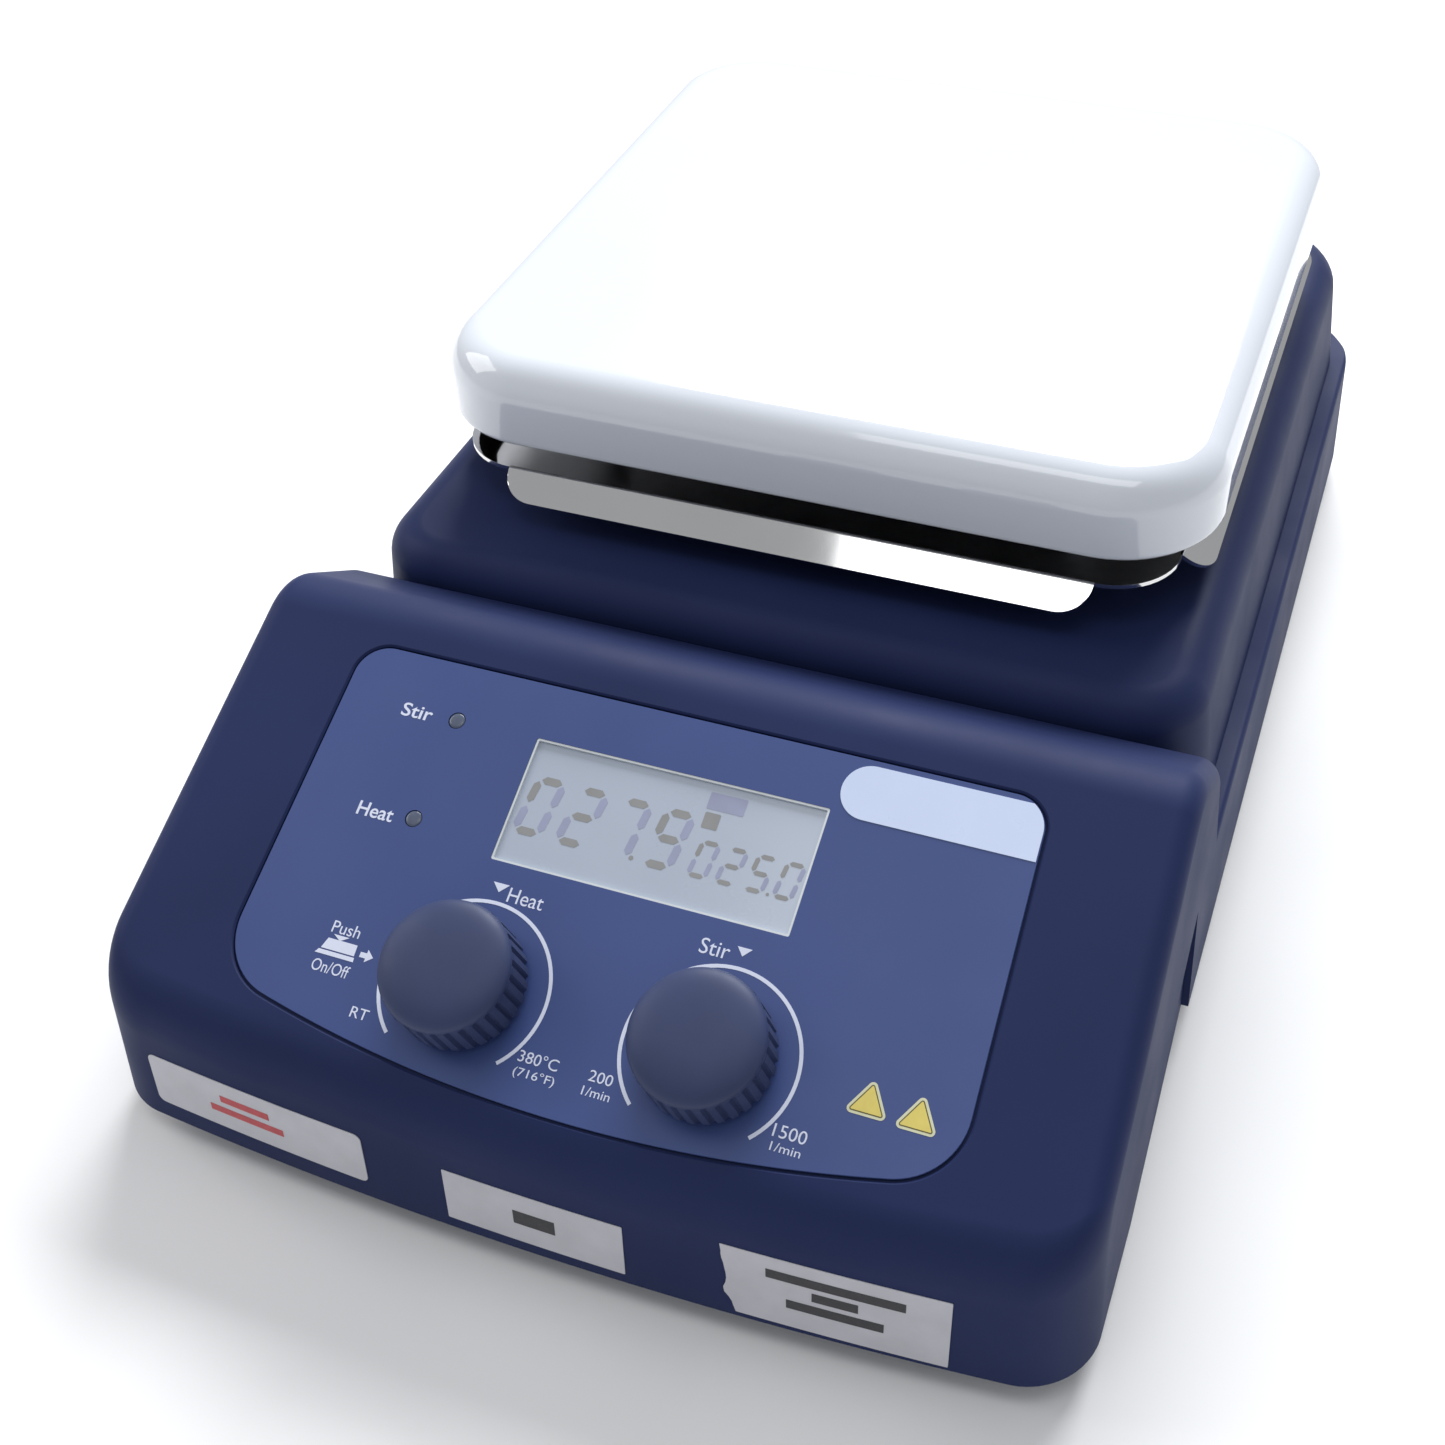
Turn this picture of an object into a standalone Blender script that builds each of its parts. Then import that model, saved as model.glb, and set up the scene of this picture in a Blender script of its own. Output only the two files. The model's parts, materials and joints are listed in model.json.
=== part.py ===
"""Magnetic stirrer with a hot plate.

Metres, +Z up. X runs to the right, Y to the back and the feet stand on Z = 0. The origin is the
middle of the footprint. The control panel slopes: panel() turns a place on it, given as distance
to the right, distance up the slope and height above it, into a point in space.
"""

import math

import bmesh
import bpy
from mathutils import Matrix, Vector

MM = 0.001

# Overall size
WIDTH = 215 * MM
DEPTH = 360 * MM
HEIGHT = 112 * MM
SKIRT_BOTTOM = 7.5 * MM
WALL = 3 * MM
CLEAR = 0.3 * MM  # between pieces that touch
RUNNING = 0.15 * MM  # round a shaft that turns or slides

# Housing
WALL_LEAN = 0.045  # inward, per unit of height
FRONT_LEAN = 0.047
FRONT_BOW = 990 * MM
FRONT_CORNER = 14 * MM
REAR_CORNER = 30 * MM
EDGE_ROUND = 5 * MM
LEDGE_ROUND = 1.4 * MM
LEDGE_Z = 40 * MM
LEDGE_WIDTH = 4.5 * MM
DECK_Z = 74 * MM
DECK_FRONT = 122.5 * MM - DEPTH / 2
DECK_LEAN = 0.105
DECK_ROUND = 8 * MM
DECK_FRONT_CORNER = 17 * MM
DECK_REAR_CORNER = 27 * MM
DECK_HOLE_RADIUS = 43 * MM
PANEL_FRONT_Z = 38.3 * MM  # height of the panel's plane at the front of the housing
PANEL_SLOPE = math.radians(24.3)
RIDGE_Y = 98 * MM - DEPTH / 2
VALLEY_Y, VALLEY_Z = 124 * MM - DEPTH / 2, 64.6 * MM
RIDGE_FOOT_Y = 130 * MM - DEPTH / 2
RIDGE_ROUND = 14 * MM
FOOT_ROUND = 11 * MM  # where the ridge drops to the ledge
NOSE_ROUND = 14 * MM  # between the panel and the front
GRIP_REAR_Y, GRIP_FRONT_Y = 105 * MM - DEPTH / 2, 46 * MM - DEPTH / 2
GRIP_DEPTH = 1.6 * MM
GRIP_TOP_REAR_Z, GRIP_TOP_FRONT_Z = 38 * MM, 13 * MM

# Plate and heat shield
PLATE_SIDE = 186 * MM
PLATE_Y = DEPTH / 2 - 120.5 * MM
PLATE_BOTTOM = 92.4 * MM
PLATE_CORNER = 25 * MM
PLATE_ROUND = 9 * MM
PLATE_TOP_THICKNESS = 5.4 * MM
PLATE_WALL = 4 * MM
HEATER_SIDE = PLATE_SIDE - 18 * MM
HEATER_THICKNESS = 1.6 * MM
INSULATION_THICKNESS = 6 * MM
CLAMP_THICKNESS = 1.2 * MM
SHIELD_WIDTH, SHIELD_DEPTH = PLATE_SIDE - 14 * MM, PLATE_SIDE
SHIELD_TOP = 86.2 * MM
SHIELD_CORNER = 16 * MM
SHEET = 1 * MM
FLAP_LENGTH = 8.9 * MM
FLAP_CORNER = 7.5 * MM
FLAP_SLOPE = math.radians(34)  # downwards from the sheet
BEND_DROP, BEND_LAP = 0.3 * MM, 0.4 * MM  # the flap's root, below the top and inside the sheet's edge
PILLAR_RADIUS = 4 * MM
PILLAR_REACH = 60 * MM
PROBE_RADIUS = 4.5 * MM
PROBE_STEM_RADIUS = 2 * MM
PROBE_STEM_LENGTH = 8 * MM

# Stirring drive
MOTOR_RADIUS = 30 * MM
MOTOR_HEIGHT = 36 * MM
BRACKET_LENGTH, BRACKET_WIDTH, BRACKET_THICKNESS = 118 * MM, 70 * MM, 2 * MM
SHAFT_RADIUS = 2.5 * MM
SHAFT_STUB = 3 * MM
FAN_RADIUS, FAN_HUB_RADIUS, FAN_HEIGHT = 24 * MM, 7 * MM, 8 * MM
FAN_BLADES = 7
CARRIER_LENGTH, CARRIER_WIDTH, CARRIER_THICKNESS = 78 * MM, 22 * MM, 4 * MM
MAGNET_RADIUS, MAGNET_HEIGHT, MAGNET_REACH = 9 * MM, 5.2 * MM, 28 * MM

# Control panel, placed in panel(): right, up the slope, above it
OVERLAY_HALF_WIDTH = WIDTH / 2 - 31.2 * MM
OVERLAY_FLARE = 0.027  # widening down the slope
OVERLAY_LOW, OVERLAY_HIGH = 9.2 * MM, 95.4 * MM
OVERLAY_BOW = 290 * MM
OVERLAY_LOW_CORNER, OVERLAY_HIGH_CORNER = 15 * MM, 7 * MM
OVERLAY_THICKNESS = 0.7 * MM
OVERLAY_RECESS = 1 * MM
OVERLAY_GROOVE = 0.5 * MM
DISPLAY_PLACE = (1.8 * MM, 69.4 * MM)
DISPLAY_SIZE = (64.7 * MM, 27.7 * MM)
DISPLAY_RIM = 2 * MM
DISPLAY_THICKNESS = 6 * MM
LAMP_RADIUS = 1.8 * MM
LAMP_PLACES = {"stir": (-49.3 * MM, 82.7 * MM), "heat": (-49.9 * MM, 59.6 * MM)}
KNOB_PLACES = {"heat": (-25.7 * MM, 29.2 * MM), "stir": (26.6 * MM, 29.2 * MM)}
KNOB_RADIUS = 13.7 * MM
KNOB_RISE = 1.3 * MM
KNOB_HEIGHT = 14.7 * MM
KNOB_CAP = 3.4 * MM  # height of the smooth cap over the ribbed skirt
KNOB_RIBS = 30
KNOB_RIB_DEPTH = 0.7 * MM
STEM_RADIUS = 3 * MM
STEM_TOP = 11 * MM
STEM_BOTTOM = -18.4 * MM
ENCODER_SIDE, ENCODER_HEIGHT = 14 * MM, 7 * MM
ROTOR_RADIUS, ROTOR_HEIGHT = 5 * MM, 4 * MM
BOARD_DROP = 20.2 * MM  # panel surface down to the control board
BOARD_THICKNESS = 1.6 * MM
BOARD_HALF_WIDTH, BOARD_LOW, BOARD_HIGH = OVERLAY_HALF_WIDTH - 10.3 * MM, 17 * MM, 88 * MM

# Base
PAN_BOTTOM = 8.5 * MM
PAN_THICKNESS = 1.5 * MM
PAN_GAP = 0.6 * MM
VENT_LENGTH, VENT_WIDTH, VENT_PITCH, VENT_COUNT = 44 * MM, 4 * MM, 10 * MM, 6
FOOT_RADIUS = 10 * MM
FOOT_FRONT_X, FOOT_REAR_X = WIDTH / 2 - 23.5 * MM, WIDTH / 2 - 27.5 * MM
FOOT_Y = DEPTH / 2 - 34 * MM
FOOT_PLACES = {
    "front_left": (-FOOT_FRONT_X, -FOOT_Y),
    "front_right": (FOOT_FRONT_X, -FOOT_Y),
    "rear_left": (-FOOT_REAR_X, FOOT_Y),
    "rear_right": (FOOT_REAR_X, FOOT_Y),
}
SCREW_RADIUS, SCREW_HEAD_RADIUS, SCREW_HEAD = 1.5 * MM, 3.2 * MM, 2 * MM
FOOT_WELL = 4 * MM

# Rear panel and power supply
REAR_OPENING = (WIDTH - 71 * MM, 28 * MM)
REAR_OPENING_Z = 23.5 * MM
REAR_PLATE_THICKNESS = 2 * MM
REAR_PLATE_RECESS = 3.6 * MM
INLET_X = -48 * MM
INLET_SIZE = (28 * MM, 25 * MM, 25.4 * MM)
INLET_WELL = (24 * MM, 15 * MM, 15 * MM)
INLET_PIN = (2 * MM, 13 * MM, 4 * MM)
INLET_PIN_PITCH = 7 * MM
DRAWER_SIZE = (24 * MM, 20 * MM, 7 * MM)
DRAWER_WALL = 1 * MM
FUSE_RADIUS, FUSE_LENGTH = 2.5 * MM, 20 * MM
SERIAL_X = 8 * MM
SERIAL_SIZE = (31 * MM, 12 * MM, 12.6 * MM)
SERIAL_WELL = (17.5 * MM, 6 * MM, 8.4 * MM)
PROBE_SOCKET_X = 50 * MM
PROBE_SOCKET_RADIUS, PROBE_SOCKET_BORE, PROBE_SOCKET_DEPTH = 8 * MM, 5 * MM, 9 * MM
PROBE_SOCKET_LENGTH = 14 * MM
SOCKET_PROUD = 1.2 * MM
POWER_BOARD_SIZE = (WIDTH - 65 * MM, 48 * MM, 1.6 * MM)
POWER_BOARD_Y = DEPTH / 2 - 56 * MM
POWER_BOARD_Z = 17 * MM
BOSS_RADIUS = 3 * MM
BOSS_INSET = 5 * MM
TRANSFORMER_SIZE = (46 * MM, 38 * MM, 34 * MM)
TRANSFORMER_X = -44 * MM
SINK_SIZE = (50 * MM, 30 * MM, 24 * MM)
SINK_X = 40 * MM
SINK_FINS, SINK_FIN, SINK_BASE = 7, 2 * MM, 4 * MM

# Worked out from the sizes above
FRONT, REAR = -DEPTH / 2, DEPTH / 2
PLATE_CEILING = HEIGHT - PLATE_TOP_THICKNESS
HEATER_BOTTOM = PLATE_CEILING - CLEAR - HEATER_THICKNESS
INSULATION_BOTTOM = HEATER_BOTTOM - CLEAR - INSULATION_THICKNESS
CLAMP_BOTTOM = INSULATION_BOTTOM - CLEAR - CLAMP_THICKNESS
SHIELD_BOTTOM = SHIELD_TOP - SHEET
BRACKET_TOP = DECK_Z - WALL - CLEAR
MOTOR_TOP = BRACKET_TOP - BRACKET_THICKNESS - CLEAR
MOTOR_BOTTOM = MOTOR_TOP - MOTOR_HEIGHT
SHAFT_BOTTOM = MOTOR_BOTTOM - SHAFT_STUB
MAGNET_TOP = SHIELD_BOTTOM - 4 * CLEAR
MAGNET_BOTTOM = MAGNET_TOP - MAGNET_HEIGHT
CARRIER_BOTTOM = MAGNET_BOTTOM - CLEAR - CARRIER_THICKNESS
SHAFT_TOP = CARRIER_BOTTOM - CLEAR
PAN_TOP = PAN_BOTTOM + PAN_THICKNESS
FOOT_TOP = PAN_BOTTOM - CLEAR
REAR_PLATE_Y = REAR - REAR_PLATE_RECESS
STEM_HOLE = STEM_RADIUS + 4 * RUNNING


def clear_scene():
    for old in list(bpy.data.objects):
        bpy.data.objects.remove(old)


def new_collection(name):
    made = bpy.data.collections.new(name)
    bpy.context.scene.collection.children.link(made)
    return made


clear_scene()
PARTS = new_collection("magnetic_stirrer")
CUTTERS = new_collection("cutters")


# Materials


def finish(name, colour, roughness, metallic=0.0):
    made = bpy.data.materials.new(name)
    made.use_nodes = True
    shader = made.node_tree.nodes["Principled BSDF"]
    shader.inputs["Base Color"].default_value = (*colour, 1)
    shader.inputs["Roughness"].default_value = roughness
    shader.inputs["Metallic"].default_value = metallic
    return made


NAVY = finish("navy_paint", (0.028, 0.038, 0.11), 0.5)
BLUE = finish("blue_film", (0.055, 0.09, 0.25), 0.4)
KNOB_NAVY = finish("knob_plastic", (0.014, 0.018, 0.05), 0.5)
ENAMEL = finish("white_enamel", (0.8, 0.83, 0.88), 0.1)
MIRROR_STEEL = finish("polished_steel", (0.75, 0.75, 0.76), 0.08, 1)
ZINC = finish("zinc_plated_steel", (0.6, 0.61, 0.63), 0.35, 1)
DARK_STEEL = finish("dark_steel", (0.2, 0.2, 0.21), 0.4, 1)
RUBBER = finish("black_rubber", (0.02, 0.02, 0.02), 0.8)
BLACK = finish("black_plastic", (0.025, 0.025, 0.027), 0.5)
FIBRE = finish("ceramic_fibre", (0.75, 0.74, 0.7), 0.9)
MICA = finish("mica", (0.35, 0.27, 0.18), 0.4)
GREEN_BOARD = finish("circuit_board", (0.02, 0.16, 0.07), 0.4)
SCREEN = finish("display_glass", (0.45, 0.52, 0.45), 0.15)
LENS = finish("lamp_lens", (0.2, 0.24, 0.2), 0.2)
NICKEL = finish("nickel_plate", (0.7, 0.68, 0.62), 0.25, 1)
COPPER = finish("copper_winding", (0.6, 0.25, 0.1), 0.4, 1)
ALUMINIUM = finish("aluminium", (0.7, 0.71, 0.72), 0.4, 1)


# Shape helpers


def keep(name, mesh, material=None, cutter=False, smooth=True):
    """An object in the model, or a hidden cutter."""
    made = bpy.data.objects.new(name, mesh)
    if cutter:
        CUTTERS.objects.link(made)
        made.hide_render = True
        made.display_type = "WIRE"
        return made
    PARTS.objects.link(made)
    mesh.materials.clear()
    mesh.materials.append(material)
    if smooth:
        mesh.shade_smooth()
        mesh.set_sharp_from_angle(angle=math.radians(35))
    return made


def mesh_of(bm, name):
    bmesh.ops.recalc_face_normals(bm, faces=bm.faces)
    mesh = bpy.data.meshes.new(name)
    bm.to_mesh(mesh)
    bm.free()
    return mesh


def stacked(name, rings):
    """A closed mesh through rings with equal numbers of points: a face pulled from ring to ring."""
    bm = bmesh.new()
    end = bm.faces.new([bm.verts.new(point) for point in rings[0]])
    for ring in rings[1:]:
        end = bmesh.ops.extrude_discrete_faces(bm, faces=[end])["faces"][0]
        for vert, point in zip(end.verts, ring):
            vert.co = point
    bmesh.ops.holes_fill(bm, edges=[edge for edge in bm.edges if edge.is_boundary])
    return mesh_of(bm, name)


def box_mesh(name, size, place=(0, 0, 0)):
    bm = bmesh.new()
    bmesh.ops.create_cube(bm, size=1, matrix=Matrix.Translation(place) @ Matrix.Diagonal((*size, 1)))
    return mesh_of(bm, name)


def rod_mesh(name, radius, low, high, place=(0, 0), steps=24):
    """An upright cylinder."""
    bm = bmesh.new()
    bmesh.ops.create_cone(
        bm,
        cap_ends=True,
        segments=steps,
        radius1=radius,
        radius2=radius,
        depth=high - low,
        matrix=Matrix.Translation((place[0], place[1], (low + high) / 2)),
    )
    return mesh_of(bm, name)


def joined(name, meshes):
    """One mesh of separate bodies, for a cutter."""
    bm = bmesh.new()
    for mesh in meshes:
        bm.from_mesh(mesh)
    return mesh_of(bm, name)


def turned(name, profile, material, place=(0, 0), steps=32):
    """A profile of (radius, height) points, run down its outer side, turned about Z."""
    mesh = bpy.data.meshes.new(name)
    points = [(radius, 0, height) for radius, height in profile]
    closed = profile[0][0] > 0
    count = len(points)
    edges = [(i, (i + 1) % count) for i in range(count if closed else count - 1)]
    mesh.from_pydata(points, edges, [])
    made = keep(name, mesh, material, smooth=False)
    made.location = (*place, 0)
    screw = made.modifiers.new("Turn", "SCREW")
    screw.steps = screw.render_steps = steps
    screw.use_merge_vertices = True
    screw.merge_threshold = 0.00002
    screw.use_smooth_shade = False
    return made


def boolean(target, other, operation="DIFFERENCE", solver="EXACT"):
    step = target.modifiers.new(other.name, "BOOLEAN")
    step.operation = operation
    step.object = other
    step.solver = solver


def cut(target, name, mesh):
    cutter = keep(name, mesh, cutter=True)
    boolean(target, cutter)
    return cutter


def add(target, name, mesh):
    other = keep(name, mesh, cutter=True)
    boolean(target, other, "UNION")
    return other


def arc(centre, radius, start, end, steps):
    """Points from the angle start to the angle end, both included."""
    for step in range(steps + 1):
        angle = start + (end - start) * step / steps
        yield (centre[0] + radius * math.cos(angle), centre[1] + radius * math.sin(angle))


def outline(half_width, front, rear, front_corner, rear_corner, bow=None, steps=6):
    """An anticlockwise outline with straight sides, round corners and a front edge that may bow."""
    reach = half_width - front_corner
    right = []
    if bow:
        corner_y = front + bow - math.sqrt((bow - front_corner) ** 2 - reach**2)
        start = math.atan2(corner_y - front - bow, reach)
        right += list(arc((0, front + bow), bow, -math.pi / 2, start, steps))[:-1]
    else:
        corner_y = front + front_corner
        start = -math.pi / 2
    right += arc((reach, corner_y), front_corner, start, 0, steps)
    right += arc((half_width - rear_corner, rear - rear_corner), rear_corner, 0, math.pi / 2, steps)
    left = [(-x, y) for x, y in reversed(right) if x > 1e-9]
    return right + left


def rectangle(width, depth, corner, steps=4):
    return outline(width / 2, -depth / 2, depth / 2, corner, corner, steps=steps)


def at_height(points, z, shift=(0, 0)):
    return [(x + shift[0], y + shift[1], z) for x, y in points]


def slab(name, points, low, high, shift=(0, 0)):
    return stacked(name, [at_height(points, low, shift), at_height(points, high, shift)])


def round_steps(radius, steps):
    """(inset, height below the top) of each point down a quarter round, from its foot."""
    for step in range(steps + 1):
        angle = math.pi / 2 * step / steps
        yield radius * (1 - math.cos(angle)), radius * (1 - math.sin(angle))


def inset_polygon(points, distances):
    """An anticlockwise polygon with each side moved inwards by its own distance.

    Side i runs from point i to the next one.
    """
    moved = []
    for i, here in enumerate(points):
        into = (here - points[i - 1]).normalized()
        out = (points[(i + 1) % len(points)] - here).normalized()
        turn = into.cross(out)
        moved.append(here + (out * distances[i - 1] - into * distances[i]) / turn)
    return moved


def rounded_polygon(points, radii, steps):
    """The polygon with each corner rounded to its radius, 0 for a sharp one."""
    rounded = []
    for i, here in enumerate(points):
        radius = radii[i]
        if radius <= 0:
            rounded.append(here)
            continue
        back = (points[i - 1] - here).normalized()
        ahead = (points[(i + 1) % len(points)] - here).normalized()
        half = back.angle(ahead) / 2
        centre = here + (back + ahead).normalized() * radius / math.sin(half)
        start = here + back * radius / math.tan(half)
        sweep = math.pi - 2 * half
        turn = sweep if (start - centre).cross(here - centre) > 0 else -sweep
        for step in range(steps + 1):
            spun = Matrix.Rotation(turn * step / steps, 2) @ (start - centre)
            rounded.append(centre + spun)
    return rounded


# Panel frame

PANEL_BASE = Vector((0, FRONT, PANEL_FRONT_Z))
PANEL_UP = Vector((0, math.cos(PANEL_SLOPE), math.sin(PANEL_SLOPE)))
PANEL_OUT = Vector((0, -math.sin(PANEL_SLOPE), math.cos(PANEL_SLOPE)))
PANEL_TURN = Matrix.Rotation(PANEL_SLOPE, 4, "X")


def panel(right, up, above=0.0):
    return PANEL_BASE + Vector((right, 0, 0)) + PANEL_UP * up + PANEL_OUT * above


def on_panel(mesh, right=0.0, up=0.0, above=0.0):
    """Turns a mesh made flat at the origin so that it lies on the panel."""
    mesh.transform(Matrix.Translation(panel(right, up, above)) @ PANEL_TURN)
    return mesh


# Housing


def side_profile():
    """The console and ledge seen from the right: (y, z) corners, and each corner's round."""
    tangent = math.tan(PANEL_SLOPE)
    skirt_rise = LEDGE_Z - SKIRT_BOTTOM
    top_rise = (PANEL_FRONT_Z - SKIRT_BOTTOM) / (1 - FRONT_LEAN * tangent)
    corners = [
        (FRONT, SKIRT_BOTTOM),
        (REAR, SKIRT_BOTTOM),
        (REAR - WALL_LEAN * skirt_rise, LEDGE_Z),
        (RIDGE_FOOT_Y, LEDGE_Z),
        (VALLEY_Y, VALLEY_Z),
        (RIDGE_Y, PANEL_FRONT_Z + (RIDGE_Y - FRONT) * tangent),
        (FRONT + FRONT_LEAN * top_rise, SKIRT_BOTTOM + top_rise),
    ]
    rounds = [0, 0, LEDGE_ROUND, 0, FOOT_ROUND, RIDGE_ROUND, NOSE_ROUND]
    return [Vector(corner) for corner in corners], rounds


def round_inset(radius, to_side):
    """How far a round edge of this radius has dropped, this far from the side it runs into."""
    return radius - math.sqrt(radius**2 - max(radius - to_side, 0) ** 2)


def side_stations(half_width, steps):
    """Distances from the middle, close together where the round edges turn down to the side."""
    flat = half_width - REAR_CORNER
    across = [flat * step / steps for step in range(1, steps)]
    turns = [turn * math.pi / 4 / steps for turn in range(2 * steps + 1)]
    return across + [flat + REAR_CORNER * math.sin(turn) for turn in turns]


def console(name, inset, steps):
    """The console and the skirt, with every face moved in by inset."""
    corners, rounds = side_profile()
    half_width = WIDTH / 2 - inset
    stations = side_stations(half_width, steps)
    rings = []
    for x in [-x for x in reversed(stations)] + [0] + stations:
        to_side = half_width - abs(x)
        edge = inset + round_inset(EDGE_ROUND - inset, to_side)
        ledge = inset + round_inset(max(LEDGE_ROUND - inset, 0), to_side)
        rear = inset + round_inset(REAR_CORNER - inset, to_side)
        bow = FRONT_BOW - math.sqrt(FRONT_BOW**2 - x**2)
        front = inset + bow + round_inset(FRONT_CORNER - inset, to_side)
        below = -EDGE_ROUND if inset else 0
        profile = inset_polygon(corners, [below, rear, ledge, edge, edge, edge, front])
        least = LEDGE_ROUND / 4
        left = [max(size - edge, least) if size else 0 for size in rounds]
        profile = rounded_polygon(profile, left, steps // 2)
        rings.append([(x * narrowing(z), y, z) for y, z in profile])
    return stacked(name, rings)


def narrowing(z):
    """The share of the width that is left at a height, as the side walls lean in."""
    return 1 - WALL_LEAN * (z - SKIRT_BOTTOM) / (WIDTH / 2)


def deck(name, inset, steps):
    """The raised deck behind the console, with every face moved in by inset."""
    half_width = WIDTH / 2 - WALL_LEAN * (LEDGE_Z - SKIRT_BOTTOM) - LEDGE_WIDTH
    rear = REAR - WALL_LEAN * (LEDGE_Z - SKIRT_BOTTOM) - LEDGE_WIDTH
    foot = LEDGE_Z - 2 * WALL
    top_round = DECK_ROUND - inset

    def ring(z, more):
        lean = DECK_LEAN * (z - LEDGE_Z)
        return at_height(
            outline(
                half_width - inset - lean - more,
                DECK_FRONT + inset + more,
                rear - inset - lean - more,
                DECK_FRONT_CORNER - inset - more,
                DECK_REAR_CORNER - inset - more,
                steps=steps,
            ),
            z,
        )

    rings = [ring(foot, 0)]
    top = DECK_Z - inset
    rings += [ring(top - drop, more) for more, drop in round_steps(top_round, max(2, steps // 2))]
    return stacked(name, rings)


def overlay_outline(margin=0.0, steps=8):
    flat = outline(
        OVERLAY_HALF_WIDTH + margin,
        OVERLAY_LOW - margin,
        OVERLAY_HIGH + margin,
        OVERLAY_LOW_CORNER + margin,
        OVERLAY_HIGH_CORNER + margin,
        OVERLAY_BOW + margin,
        steps,
    )
    return [(x * (1 + OVERLAY_FLARE * (OVERLAY_HIGH - y) / OVERLAY_HIGH), y) for x, y in flat]


def display_shape(name, margin, low, high):
    width, height = (side + 2 * margin for side in DISPLAY_SIZE)
    return on_panel(slab(name, rectangle(width, height, 0.4 * MM, 2), low, high), *DISPLAY_PLACE)


def grip_cutter(side):
    """A wedge that sinks into one side wall towards the back of the grip."""
    def wall_x(z):
        return WIDTH / 2 - WALL_LEAN * (z - SKIRT_BOTTOM)

    low = SKIRT_BOTTOM - EDGE_ROUND
    outer = WIDTH / 2 + EDGE_ROUND
    front = [(wall_x(z), GRIP_FRONT_Y, z) for z in (low, GRIP_TOP_FRONT_Z)]
    rear = [(wall_x(z) - GRIP_DEPTH, GRIP_REAR_Y, z) for z in (low, GRIP_TOP_REAR_Z)]
    inner = [front[0], rear[0], rear[1], front[1]]
    face = [(side * x, y, z) for x, y, z in inner]
    return stacked("grip", [face, [(side * outer, y, z) for _, y, z in inner]])


def make_housing():
    housing = keep("housing", console("housing", 0, 6), NAVY)
    add(housing, "deck_outside", deck("deck_outside", 0, 6))
    cut(housing, "console_inside", console("console_inside", WALL, 4))
    cut(housing, "deck_inside", deck("deck_inside", WALL, 4))
    through = DECK_Z + WALL
    holes = [rod_mesh("deck_hole", DECK_HOLE_RADIUS, DECK_Z - 2 * WALL, through, (0, PLATE_Y), 40)]
    recess = slab("recess", overlay_outline(OVERLAY_GROOVE), -OVERLAY_RECESS, EDGE_ROUND)
    cut(housing, "overlay_recess", on_panel(recess))
    display_margin = DISPLAY_RIM + CLEAR
    holes.append(display_shape("display_hole", display_margin, -3 * WALL, OVERLAY_RECESS))
    for right, up in KNOB_PLACES.values():
        hole = rod_mesh("stem_hole", STEM_HOLE, -3 * WALL, OVERLAY_RECESS, steps=20)
        holes.append(on_panel(hole, right, up))
    for right, up in LAMP_PLACES.values():
        hole = rod_mesh("lamp_hole", LAMP_RADIUS + CLEAR, -3 * WALL, OVERLAY_RECESS, steps=16)
        holes.append(on_panel(hole, right, up))
    width, height = REAR_OPENING
    holes.append(
        box_mesh("rear_opening", (width, 6 * WALL, height), (0, REAR - WALL, REAR_OPENING_Z))
    )
    cut(housing, "housing_holes", joined("housing_holes", holes))
    cut(housing, "grips", joined("grips", [grip_cutter(-1), grip_cutter(1)]))


# Plate, heater and heat shield


def pillar_places():
    return {
        "front_left": (-PILLAR_REACH, PLATE_Y - PILLAR_REACH),
        "front_right": (PILLAR_REACH, PLATE_Y - PILLAR_REACH),
        "rear_left": (-PILLAR_REACH, PLATE_Y + PILLAR_REACH),
        "rear_right": (PILLAR_REACH, PLATE_Y + PILLAR_REACH),
    }


def square(side, corner, steps=5):
    return rectangle(side, side, corner, steps)


def over_plate(name, side, corner, low, high):
    return slab(name, square(side, corner), low, high, (0, PLATE_Y))


def make_plate():
    levels = [(0.5 * MM, PLATE_BOTTOM), (0, PLATE_BOTTOM + MM)]
    levels += [(inset, HEIGHT - drop) for inset, drop in round_steps(PLATE_ROUND, 4)]
    rings = []
    for inset, z in levels:
        points = square(PLATE_SIDE - 2 * inset, PLATE_CORNER - inset)
        rings.append(at_height(points, z, (0, PLATE_Y)))
    plate = keep("work_plate", stacked("work_plate", rings), ENAMEL)
    inner = PLATE_SIDE - 2 * PLATE_WALL
    low = PLATE_BOTTOM - PLATE_WALL
    cut(plate, "plate_hollow", over_plate("hollow", inner, PLATE_CORNER - PLATE_WALL, low, PLATE_CEILING))


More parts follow.
